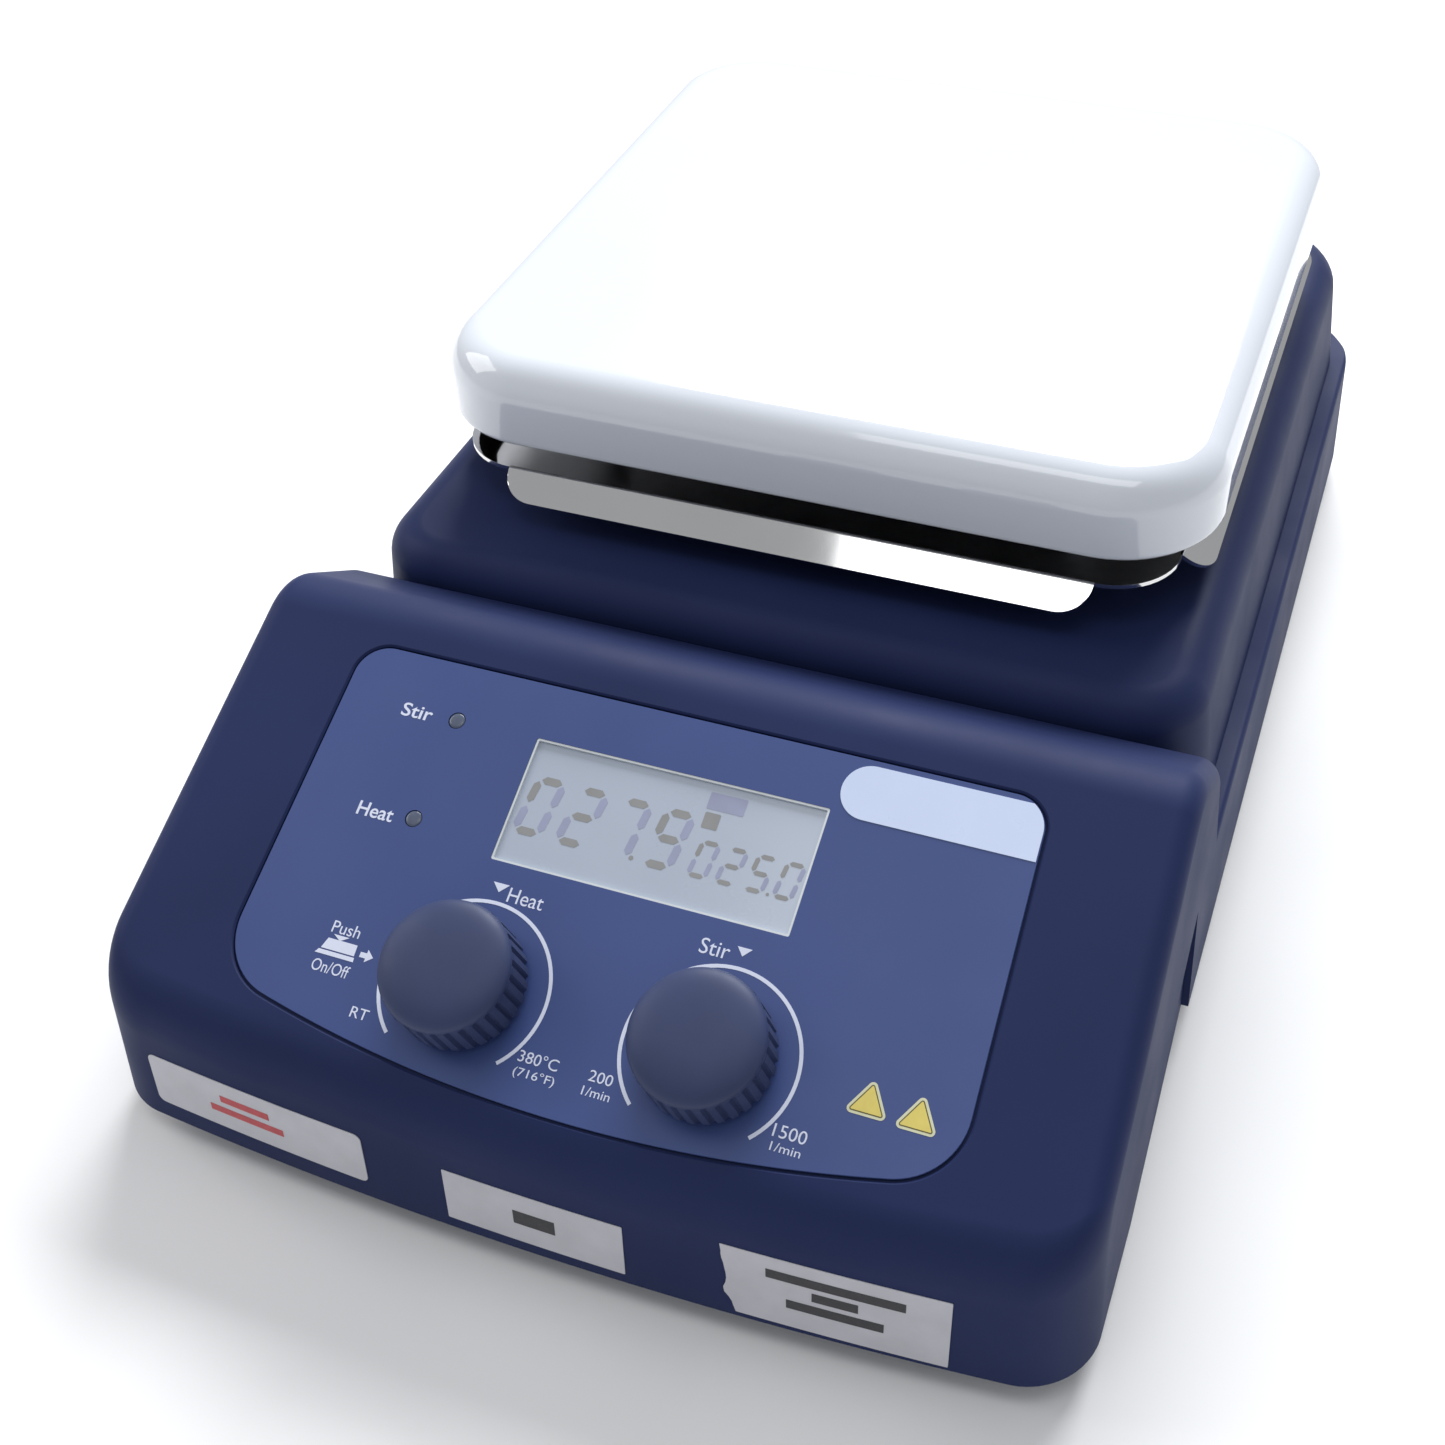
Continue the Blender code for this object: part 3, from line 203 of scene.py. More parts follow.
def outwards(piece):
    """Merges doubles and turns every face outwards."""
    take(piece)
    bpy.ops.object.mode_set(mode="EDIT")
    bpy.ops.mesh.select_all(action="SELECT")
    bpy.ops.mesh.remove_doubles(threshold=1e-6)
    bpy.ops.mesh.normals_make_consistent(inside=False)
    bpy.ops.object.mode_set(mode="OBJECT")


def loft(name, rings):
    """A closed skin: one flat ring of points, extruded from ring to ring."""
    deselect()
    bpy.ops.mesh.primitive_circle_add(vertices=len(rings[0]), fill_type="NGON")
    piece = newest(name)
    bpy.ops.object.mode_set(mode="EDIT")
    for level, ring in enumerate(rings):
        if level:
            bpy.ops.mesh.extrude_region_move()
        mesh = bmesh.from_edit_mesh(piece.data)
        end = next(face for face in mesh.faces if face.select)
        for vert, point in zip(end.verts, ring):
            vert.co = point
        bmesh.update_edit_mesh(piece.data)
    bpy.ops.object.mode_set(mode="OBJECT")
    outwards(piece)
    return piece


def tube(name, rings):
    """A closed ring-shaped skin: the last ring is the first one again."""
    piece = loft(name, rings)
    take(piece)
    bpy.ops.object.mode_set(mode="EDIT")
    mesh = bmesh.from_edit_mesh(piece.data)
    caps = [face for face in mesh.faces if len(face.verts) > 4]
    bmesh.ops.delete(mesh, geom=caps, context="FACES_ONLY")
    bmesh.update_edit_mesh(piece.data)
    bpy.ops.object.mode_set(mode="OBJECT")
    outwards(piece)
    return piece


def slab(name, points, low, high, shift=(0, 0)):
    return loft(name, [at_height(points, z, shift) for z in (low, high)])


def rod(name, radius, low, high, place=(0, 0), steps=64):
    deselect()
    middle = (place[0], place[1], (low + high) / 2)
    bpy.ops.mesh.primitive_cylinder_add(vertices=steps, radius=radius, depth=high - low,
                                        location=middle)
    piece = newest(name)
    settle(piece)
    return piece


def block(name, size, middle, bevel=0.0, segments=3):
    """A box with its edges rounded."""
    deselect()
    bpy.ops.mesh.primitive_cube_add(size=1, location=middle)
    piece = newest(name)
    piece.scale = size
    settle(piece)
    if bevel:
        apply(piece, "BEVEL", width=bevel, segments=segments, limit_method="ANGLE")
    return piece


def settle(piece):
    """Puts a piece's place, turn and size into its mesh."""
    take(piece)
    bpy.ops.object.transform_apply(location=True, rotation=True, scale=True)


def turn_mesh(piece, matrix):
    piece.data.transform(matrix)
    if matrix.determinant() < 0:
        outwards(piece)
    return piece


def spun(name, profile, place=(0, 0, 0), steps=64):
    """A profile of (radius, height) points spun about Z. Both ends lie on the axis."""
    rings = []
    for radius, height in profile:
        turns = [math.tau * step / steps for step in range(steps)]
        rings.append([(radius * math.cos(turn), radius * math.sin(turn), height)
                      for turn in turns])
    return turn_mesh(loft(name, rings), Matrix.Translation(place))


def give(piece, body, material, slot, *nodes):
    """Finishes a piece: its material, the body it rides on and the nodes it stands for."""
    if material:
        piece.data.materials.clear()
        piece.data.materials.append(material)
    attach(piece, body)
    if nodes:
        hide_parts(*nodes)
    return piece


# Outlines


def arc(centre, radius, start, end, steps):
    """Points from the angle start to the angle end, both included."""
    for step in range(steps + 1):
        angle = start + (end - start) * step / steps
        yield (centre[0] + radius * math.cos(angle), centre[1] + radius * math.sin(angle))


def outline(half_width, front, rear, front_corner, rear_corner, bow=None, steps=12):
    """An anticlockwise outline with straight sides, round corners and a front edge that may bow."""
    reach = half_width - front_corner
    right = []
    if bow:
        corner_y = front + bow - math.sqrt((bow - front_corner) ** 2 - reach**2)
        start = math.atan2(corner_y - front - bow, reach)
        right += list(arc((0, front + bow), bow, -math.pi / 2, start, 2 * steps))[:-1]
    else:
        corner_y = front + front_corner
        start = -math.pi / 2
    right += arc((reach, corner_y), front_corner, start, 0, steps)
    rear_centre = (half_width - rear_corner, rear - rear_corner)
    right += arc(rear_centre, rear_corner, 0, math.pi / 2, steps)
    left = [(-x, y) for x, y in reversed(right) if x > 1e-9]
    return right + left


def rectangle(width, depth, corner, steps=12):
    return outline(width / 2, -depth / 2, depth / 2, corner, corner, steps=steps)


def in_mm(points):
    """Points given in millimetres."""
    return [tuple(value * MM for value in point) for point in points]


def at_height(points, z, shift=(0, 0)):
    return [(x + shift[0], y + shift[1], z) for x, y in points]


def round_steps(radius, steps):
    """(inset, height below the top) of each point down a quarter round, from its foot."""
    for step in range(steps + 1):
        angle = math.pi / 2 * step / steps
        yield radius * (1 - math.cos(angle)), radius * (1 - math.sin(angle))


def inset_polygon(points, distances):
    """An anticlockwise polygon with each side moved inwards by its own distance."""
    moved = []
    for i, here in enumerate(points):
        into = (here - points[i - 1]).normalized()
        out = (points[(i + 1) % len(points)] - here).normalized()
        turn = into.cross(out)
        moved.append(here + (out * distances[i - 1] - into * distances[i]) / turn)
    return moved


def rounded_polygon(points, radii, steps):
    """The polygon with each corner rounded to its radius, 0 for a sharp one."""
    rounded = []
    for i, here in enumerate(points):
        radius = radii[i]
        if radius <= 0:
            rounded.append(here)
            continue
        back = (points[i - 1] - here).normalized()
        ahead = (points[(i + 1) % len(points)] - here).normalized()
        half = back.angle(ahead) / 2
        centre = here + (back + ahead).normalized() * radius / math.sin(half)
        start = here + back * radius / math.tan(half)
        sweep = math.pi - 2 * half
        turn = sweep if (start - centre).cross(here - centre) > 0 else -sweep
        for step in range(steps + 1):
            rounded.append(centre + Matrix.Rotation(turn * step / steps, 2) @ (start - centre))
    return rounded


# Panel frame

PANEL_BASE = Vector((0, FRONT, PANEL_FRONT_Z))
PANEL_UP = Vector((0, math.cos(PANEL_SLOPE), math.sin(PANEL_SLOPE)))
PANEL_OUT = Vector((0, -math.sin(PANEL_SLOPE), math.cos(PANEL_SLOPE)))
PANEL_TURN = Matrix.Rotation(PANEL_SLOPE, 4, "X")


def panel(right, up, above=0.0):
    return PANEL_BASE + Vector((right, 0, 0)) + PANEL_UP * up + PANEL_OUT * above


def on_panel(piece, right=0.0, up=0.0, above=0.0):
    """Lays a piece made flat at the origin on the panel."""
    return turn_mesh(piece, Matrix.Translation(panel(right, up, above)) @ PANEL_TURN)


def panel_place(point):
    return (point.x, (point.y - FRONT) / math.cos(PANEL_SLOPE))


KNOB_PLACES = {"heat": panel_place(heat_point), "stir": panel_place(stir_point)}


# Materials


def shader_of(material):
    return material.node_tree.nodes["Principled BSDF"]


def node(material, kind, **values):
    made = material.node_tree.nodes.new(kind)
    for key, value in values.items():
        if key in made.inputs:
            made.inputs[key].default_value = value
        else:
            setattr(made, key, value)
    return made


def link(material, source, target):
    material.node_tree.links.new(source, target)


def noise(material, scale, detail=4.0, stretch=None):
    """Noise on object coordinates. stretch scales the pattern along X, Y and Z."""
    place = node(material, "ShaderNodeTexCoord").outputs["Object"]
    if stretch:
        mapping = node(material, "ShaderNodeMapping")
        mapping.inputs["Scale"].default_value = stretch
        link(material, place, mapping.inputs["Vector"])
        place = mapping.outputs["Vector"]
    texture = node(material, "ShaderNodeTexNoise", Scale=scale, Detail=detail)
    link(material, place, texture.inputs["Vector"])
    return texture.outputs["Fac"]


def ramp(material, source, stops):
    """A colour ramp over (position, colour) stops."""
    made = node(material, "ShaderNodeValToRGB")
    elements = made.color_ramp.elements
    while len(elements) < len(stops):
        elements.new(0.5)
    for element, (position, colour) in zip(elements, stops):
        element.position = position
        element.color = (*colour, 1)
    link(material, source, made.inputs["Fac"])
    return made.outputs["Color"]


def spread(material, source, low, high):
    """Maps a noise value to a range."""
    made = node(material, "ShaderNodeMapRange")
    made.inputs["From Min"].default_value = 0.3
    made.inputs["From Max"].default_value = 0.7
    made.inputs["To Min"].default_value = low
    made.inputs["To Max"].default_value = high
    link(material, source, made.inputs["Value"])
    return made.outputs["Result"]


def mixed(material, factor, first, second):
    """A mix of two colours, each a socket or an RGB value."""
    made = node(material, "ShaderNodeMix", data_type="RGBA")
    link(material, factor, made.inputs["Factor"])
    for socket, value in ((made.inputs[6], first), (made.inputs[7], second)):
        if isinstance(value, tuple):
            socket.default_value = (*value, 1)
        else:
            link(material, value, socket)
    return made.outputs[2]


def bumps(material, heights):
    """Bump from (height socket, strength, depth) layers, coarse first."""
    normal = None
    for height, strength, depth in heights:
        made = node(material, "ShaderNodeBump", Strength=strength, Distance=depth)
        link(material, height, made.inputs["Height"])
        if normal:
            link(material, normal, made.inputs["Normal"])
        normal = made.outputs["Normal"]
    link(material, normal, shader_of(material).inputs["Normal"])


def shade(colour, share):
    return tuple(min(channel * share, 1) for channel in colour)


def specks(material, scale, size):
    """1 on sparse small spots, 0 elsewhere."""
    place = node(material, "ShaderNodeTexCoord").outputs["Object"]
    cells = node(material, "ShaderNodeTexVoronoi", Scale=scale, Randomness=1.0)
    link(material, place, cells.inputs["Vector"])
    near = node(material, "ShaderNodeMath", operation="LESS_THAN")
    link(material, cells.outputs["Distance"], near.inputs[0])
    near.inputs[1].default_value = size
    return near.outputs["Value"]


def finish(name, colour, roughness, metallic=0.0, mottle=0.12, mottle_scale=40,
           grain=(900, 0.15, 0.05), rough_spread=0.12, **sockets):
    """A finish with soft colour variation, uneven gloss and a fine grain (scale, strength, mm deep)."""
    made = bpy.data.materials.new(name)
    made.use_nodes = True
    shader = shader_of(made)
    shader.inputs["Metallic"].default_value = metallic
    for key, value in sockets.items():
        shader.inputs[key.replace("_", " ")].default_value = value
    broad = noise(made, mottle_scale)
    stops = [(0.3, shade(colour, 1 - mottle)), (0.7, shade(colour, 1 + mottle))]
    colours = ramp(made, broad, stops)
    link(made, colours, shader.inputs["Base Color"])
    uneven = noise(made, mottle_scale * 2.3, 6)
    least, most = roughness * (1 - rough_spread), roughness * (1 + rough_spread)
    link(made, spread(made, uneven, least, most), shader.inputs["Roughness"])
    scale, strength, depth = grain
    bumps(made, [(noise(made, scale, 3), strength, depth * MM)])
    return made


def thin_coat(name, colour, roughness, mottle=0.04, mottle_scale=400, grain=3000, strength=0.1):
    """A print, ink or small smooth face."""
    return finish(name, colour, roughness, mottle=mottle, mottle_scale=mottle_scale,
                  grain=(grain, strength, 0.01))


def dusty(material, colour, scale, size, strength):
    """Adds sparse lint and dust to a finish's colour."""
    shader = shader_of(material)
    base = shader.inputs["Base Color"].links[0].from_socket
    spots = specks(material, scale, size)
    share = node(material, "ShaderNodeMath", operation="MULTIPLY")
    link(material, spots, share.inputs[0])
    share.inputs[1].default_value = strength
    dusted = mixed(material, share.outputs["Value"], base, colour)
    link(material, dusted, shader.inputs["Base Color"])
    return material


NAVY = dusty(
    finish("navy_soft_paint", (0.0165, 0.026, 0.088), 0.56, mottle=0.10, mottle_scale=14,
           grain=(2600, 0.10, 0.03), Specular_IOR_Level=0.12),
    (0.25, 0.27, 0.33), 42, 0.011, 0.5)
FILM = dusty(
    finish("blue_panel_film", (0.039, 0.068, 0.215), 0.42, mottle=0.06, mottle_scale=18,
           grain=(4200, 0.10, 0.02), Specular_IOR_Level=0.4),
    (0.4, 0.44, 0.55), 55, 0.009, 0.45)
KNOB = finish("navy_knob_plastic", (0.034, 0.048, 0.118), 0.5, mottle=0.08, mottle_scale=60,
              grain=(3200, 0.12, 0.02), Specular_IOR_Level=0.3)
ENAMEL = finish("white_enamel", (0.69, 0.725, 0.785), 0.09, mottle=0.012, mottle_scale=12,
                grain=(28, 0.12, 0.5), Coat_Weight=0.6, Coat_Roughness=0.04)
# Near-black colour for the inside of the plate's hollow, much darker than the enamel on top
PLATE_HOLLOW_DARK = finish("plate_hollow_dark", (0.018, 0.016, 0.016), 0.35, grain=(700, 0.2, 0.05))
MIRROR = finish("polished_stainless", (0.72, 0.715, 0.71), 0.07, 1, mottle=0.03, mottle_scale=20,
                grain=(60, 0.05, 0.1), rough_spread=0.3)
ZINC = finish("zinc_plate", (0.56, 0.57, 0.6), 0.34, 1, mottle=0.1, mottle_scale=90,
              grain=(500, 0.1, 0.05))
DARK_STEEL = finish("dark_steel", (0.16, 0.16, 0.17), 0.4, 1, mottle=0.15, grain=(400, 0.15, 0.05))
RUBBER = finish("black_rubber", (0.018, 0.018, 0.018), 0.72, mottle=0.2, grain=(1200, 0.3, 0.08))
BLACK = finish("black_textured_plastic", (0.02, 0.02, 0.022), 0.5, mottle=0.15,
               grain=(2200, 0.35, 0.06))
FIBRE = finish("ceramic_fibre", (0.7, 0.69, 0.64), 0.95, mottle=0.15, grain=(800, 0.6, 0.3))
MICA = finish("mica_sheet", (0.36, 0.28, 0.19), 0.35, mottle=0.25, mottle_scale=160,
              grain=(300, 0.2, 0.1))
BOARD = finish("green_board", (0.015, 0.13, 0.055), 0.35, mottle=0.3, mottle_scale=220,
               grain=(600, 0.2, 0.05))
COPPER = finish("copper_winding", (0.55, 0.24, 0.1), 0.35, 1, mottle=0.15, grain=(900, 0.3, 0.1))
ALUMINIUM = finish("plain_aluminium", (0.66, 0.67, 0.68), 0.38, 1, mottle=0.08,
                   grain=(700, 0.2, 0.05))
NICKEL = finish("nickel_plate", (0.66, 0.63, 0.57), 0.22, 1, mottle=0.05, grain=(500, 0.05, 0.03))
GOLD = finish("gilt_contact", (0.8, 0.58, 0.22), 0.25, 1, mottle=0.05, grain=(500, 0.05, 0.03))
PRINT = thin_coat("white_print", (0.66, 0.70, 0.84), 0.5, 0.03, 300, 4000)
BADGE = thin_coat("white_badge", (0.56, 0.64, 0.84), 0.3, 0.02, 60)
LENS = thin_coat("lamp_lens", (0.08, 0.10, 0.15), 0.25, 0.1, 900, 2500)
GLASS_FACE = finish("display_face", (0.39, 0.44, 0.53), 0.3, mottle=0.03, mottle_scale=30,
                    grain=(5000, 0.03, 0.01), Coat_Weight=0.7, Coat_Roughness=0.12)
# Light grey rim round the display: the clear window's real edge, coloured light grey as a painted
# highlight of that edge catching the light
WINDOW_EDGE_HIGHLIGHT = thin_coat("window_edge_painted_highlight", (0.62, 0.66, 0.68), 0.25, 0.03, 200, strength=0.05)
SEGMENT_GREY = thin_coat("segment_grey", (0.25, 0.25, 0.25), 0.4, 0.05, 200, strength=0.02)
SEGMENT_LILAC = thin_coat("segment_lilac", (0.29, 0.31, 0.44), 0.4, 0.05, 200, strength=0.02)
YELLOW = thin_coat("yellow_mark", (0.68, 0.56, 0.13), 0.45)
PALE_YELLOW = thin_coat("mark_edge", (0.62, 0.62, 0.42), 0.45)
MARK_LINE = thin_coat("mark_line", (0.1, 0.085, 0.02), 0.5, 0.05)
PAPER = finish("label_paper", (0.56, 0.555, 0.6), 0.62, mottle=0.05, mottle_scale=120,
               grain=(1800, 0.25, 0.03))
FUSE_GLASS = finish("fuse_glass", (0.6, 0.63, 0.62), 0.12, mottle=0.05, mottle_scale=200,
                    grain=(900, 0.05, 0.02), Coat_Weight=0.8)
RED_INK = thin_coat("red_ink", (0.5, 0.07, 0.08), 0.5, 0.1, 600)
BLACK_INK = thin_coat("black_ink", (0.035, 0.035, 0.04), 0.5, 0.1, 600)


# Housing


def side_profile():
    """The console and ledge seen from the right: (y, z) corners, and each corner's round."""
    tangent = math.tan(PANEL_SLOPE)
    skirt_rise = LEDGE_Z - SKIRT_BOTTOM
    top_rise = (PANEL_FRONT_Z - SKIRT_BOTTOM) / (1 - FRONT_LEAN * tangent)
    corners = [
        (FRONT, SKIRT_BOTTOM),
        (REAR, SKIRT_BOTTOM),
        (REAR - WALL_LEAN * skirt_rise, LEDGE_Z),
        (RIDGE_FOOT_Y, LEDGE_Z),
        (VALLEY_Y, VALLEY_Z),
        (RIDGE_Y, PANEL_FRONT_Z + (RIDGE_Y - FRONT) * tangent),
        (FRONT + FRONT_LEAN * top_rise, SKIRT_BOTTOM + top_rise),
    ]
    rounds = [0, 0, LEDGE_ROUND, 0, FOOT_ROUND, RIDGE_ROUND, NOSE_ROUND]
    return [Vector(corner) for corner in corners], rounds


def round_inset(radius, to_side):
    """How far a round edge of this radius has dropped, this far from the side it runs into."""
    return radius - math.sqrt(radius**2 - max(radius - to_side, 0) ** 2)


def side_stations(half_width, steps):
    """Distances from the middle, close together where the round edges turn down to the side."""
    flat = half_width - REAR_CORNER
    turns = [turn * math.pi / 4 / steps for turn in range(2 * steps + 1)]
    straight = [flat * step / steps for step in range(1, steps)]
    return straight + [flat + REAR_CORNER * math.sin(turn) for turn in turns]


def narrowing(z):
    """The share of the width that is left at a height, as the side walls lean in."""
    return 1 - WALL_LEAN * (z - SKIRT_BOTTOM) / (WIDTH / 2)


def front_inset(x, inset=0.0):
    """How far the front face has dropped back at a station: its bow and its round corner."""
    bow = FRONT_BOW - math.sqrt(FRONT_BOW**2 - x**2)
    return inset + bow + round_inset(FRONT_CORNER - inset, WIDTH / 2 - inset - abs(x))


def console(name, inset, steps):
    """The console and the skirt, with every face moved in by inset."""
    corners, rounds = side_profile()
    half_width = WIDTH / 2 - inset
    stations = side_stations(half_width, steps)
    rings = []
    for x in [-x for x in reversed(stations)] + [0] + stations:
        to_side = half_width - abs(x)
        edge = inset + round_inset(EDGE_ROUND - inset, to_side)
        ledge = inset + round_inset(max(LEDGE_ROUND - inset, 0), to_side)
        rear = inset + round_inset(REAR_CORNER - inset, to_side)
        below = -EDGE_ROUND if inset else 0
        insets = [below, rear, ledge, edge, edge, edge, front_inset(x, inset)]
        least = LEDGE_ROUND / 4
        radii = [max(radius - edge, least) if radius else 0 for radius in rounds]
        profile = rounded_polygon(inset_polygon(corners, insets), radii, steps // 2)
        rings.append([(x * narrowing(z), y, z) for y, z in profile])
    return loft(name, rings)


def deck(name, inset, steps):
    """The raised deck behind the console, with every face moved in by inset."""
    half_width = WIDTH / 2 - WALL_LEAN * (LEDGE_Z - SKIRT_BOTTOM) - LEDGE_WIDTH
    rear = REAR - WALL_LEAN * (LEDGE_Z - SKIRT_BOTTOM) - LEDGE_WIDTH
    top = DECK_TOP_Z - inset
    rings = []
    levels = [(0, LEDGE_Z - 2 * WALL)]
    levels += [(more, top - drop) for more, drop in round_steps(DECK_ROUND - inset, steps)]
    for more, z in levels:
        lean = DECK_LEAN * (z - LEDGE_Z)
        shape = outline(
            half_width - inset - lean - more,
            DECK_FRONT + inset + more,
            rear - inset - lean - more,
            DECK_FRONT_CORNER - inset - more,
            DECK_REAR_CORNER - inset - more,
            steps=steps,
        )
        rings.append(at_height(shape, z))
    return loft(name, rings)


def film_outline(margin=0.0, steps=16):
    flat = outline(
        FILM_HALF_WIDTH + margin,
        FILM_LOW - margin,
        FILM_HIGH + margin,
        FILM_LOW_CORNER + margin,
        FILM_HIGH_CORNER + margin,
        FILM_BOW + margin,
        steps,
    )
    return [(x * (1 + FILM_FLARE * (FILM_HIGH - y) / FILM_HIGH), y) for x, y in flat]


def film_recess():
    """The pocket for the panel film, with a chamfered mouth."""
    levels = [(0, -FILM_RECESS), (0, -RECESS_CHAMFER), (RECESS_CHAMFER, 0), (RECESS_CHAMFER, 4 * MM)]
    rings = [at_height(film_outline(FILM_GROOVE + more), z) for more, z in levels]
    return on_panel(loft("film_recess", rings))


def window_tool(name, margin, low, high):
    width, height = (side + 2 * margin for side in WINDOW_SIZE)
    shape = rectangle(width, height, WINDOW_CORNER, 4)
    return on_panel(slab(name, shape, low, high), *WINDOW_PLACE)


def panel_holes(lamp_gap):
    """(place, radius) of each hole for a knob's stem or a lamp."""
    stems = [(place, STEM_HOLE) for place in KNOB_PLACES.values()]
    return stems + [(place, LAMP_RADIUS + lamp_gap) for place in LAMP_PLACES.values()]


def grip_tool(side):
    """A wedge that sinks into one side wall towards the back of the grip."""
    def wall_x(z):
        return WIDTH / 2 - WALL_LEAN * (z - SKIRT_BOTTOM)

    low, outer = SKIRT_BOTTOM - EDGE_ROUND, WIDTH / 2 + EDGE_ROUND
    front = [(wall_x(z), GRIP_FRONT_Y, z) for z in (low, GRIP_TOP_FRONT_Z)]
    rear = [(wall_x(z) - GRIP_DEPTH, GRIP_REAR_Y, z) for z in (low, GRIP_TOP_REAR_Z)]
    inner = [front[0], rear[0], rear[1], front[1]]
    face = [(side * x, y, z) for x, y, z in inner]
    return loft("grip", [face, [(side * outer, y, z) for _, y, z in inner]])


def make_housing():
    shell = console("housing_shell", 0, 18)
    carve(shell, deck("deck", 0, 16), "UNION")
    carve(shell, console("console_inside", WALL, 6))
    carve(shell, deck("deck_inside", WALL, 6))
    carve(shell, film_recess())
    low, high = DECK_TOP_Z - 2 * WALL, DECK_TOP_Z + WALL
    carve(shell, rod("deck_hole", DECK_HOLE_RADIUS, low, high, (0, PLATE_Y), 96))
    carve(shell, window_tool("window_hole", WINDOW_MARGIN + CLEAR, -3 * WALL, FILM_RECESS))
    for place, radius in panel_holes(CLEAR):
        carve(shell, on_panel(rod("hole", radius, -3 * WALL, FILM_RECESS, steps=32), *place))
    rear_low, rear_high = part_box("rear_plate")
    rear_size = rear_high - rear_low
    size = (rear_size.x + 2 * CLEAR, 6 * WALL, rear_size.z + 2 * CLEAR)
    middle = (0, REAR - WALL, (rear_low.z + rear_high.z) / 2)
    carve(shell, block("rear_opening", size, middle))
    for side in (-1, 1):
        carve(shell, grip_tool(side))
    smooth(shell, 28)
    give(shell, "base", NAVY, "navy_housing", "housing")


# Plate and shield


def make_plate():
    side = plate_high.x - plate_low.x
    turned_edge = in_mm([(0.9, 0), (0.4, 0.2), (0.1, 0.7), (0, 1.4)])
    levels = [(inset, plate_low.z + rise) for inset, rise in turned_edge]
    levels += [(inset, plate_high.z - drop) for inset, drop in round_steps(PLATE_ROUND, 18)]
    rings = []
    for inset, z in levels:
        shape = rectangle(side - 2 * inset, side - 2 * inset, PLATE_CORNER - inset, 18)
        rings.append(at_height(shape, z, (0, PLATE_Y)))
    plate = loft("plate_enamel", rings)
    plate.data.materials.append(ENAMEL)
    inner = side - 2 * PLATE_WALL
    ceiling = plate_high.z - PLATE_TOP_THICKNESS
    shape = rectangle(inner, inner, PLATE_CORNER - PLATE_WALL, 12)
    hollow = slab("hollow", shape, plate_low.z - WALL, ceiling, (0, PLATE_Y))
    hollow.data.materials.append(PLATE_HOLLOW_DARK)
    carve(plate, hollow, materials="TRANSFER")
    smooth(plate, 40)
    give(plate, "base", None, "white_enamel", "work_plate")


def flap_columns(half_length, steps=10):
    """Places along a flap, close together at its round ends."""
    inner = half_length - FLAP_CORNER
    ends = [inner + FLAP_CORNER * math.sin(math.pi / 2 * step / steps) for step in range(steps + 1)]
    ends[-1] = half_length
    middle = [inner * step / 6 for step in range(-5, 6)]
    return [-x for x in reversed(ends)] + middle + ends


def flap(reach, half_length, rows=8):
    """One bent-down edge of the shield along +Y: a grid over the bend and the flap."""
    columns = flap_columns(half_length)
    deselect()
    bpy.ops.mesh.primitive_grid_add(x_subdivisions=len(columns) - 1, y_subdivisions=rows + 4)
    piece = newest("flap")
    start = reach - BEND_RADIUS * math.tan(FLAP_SLOPE / 2)
    per_row = len(columns)
    for index, vert in enumerate(piece.data.vertices):
        x, row = columns[index % per_row], index // per_row
        past = max(abs(x) - (half_length - FLAP_CORNER), 0) / FLAP_CORNER
        length = FLAP_LENGTH - FLAP_CORNER * (1 - math.sqrt(max(1 - past**2, 0)))
        turn = FLAP_SLOPE * min(row, 4) / 4
        y = start + BEND_RADIUS * math.sin(turn)
        z = -BEND_RADIUS * (1 - math.cos(turn))
        along = (length - BEND_RADIUS * FLAP_SLOPE) * max(row - 4, 0) / rows
        y += along * math.cos(FLAP_SLOPE)
        vert.co = (x, y, SHIELD_TOP + z - along * math.sin(FLAP_SLOPE))
    return piece


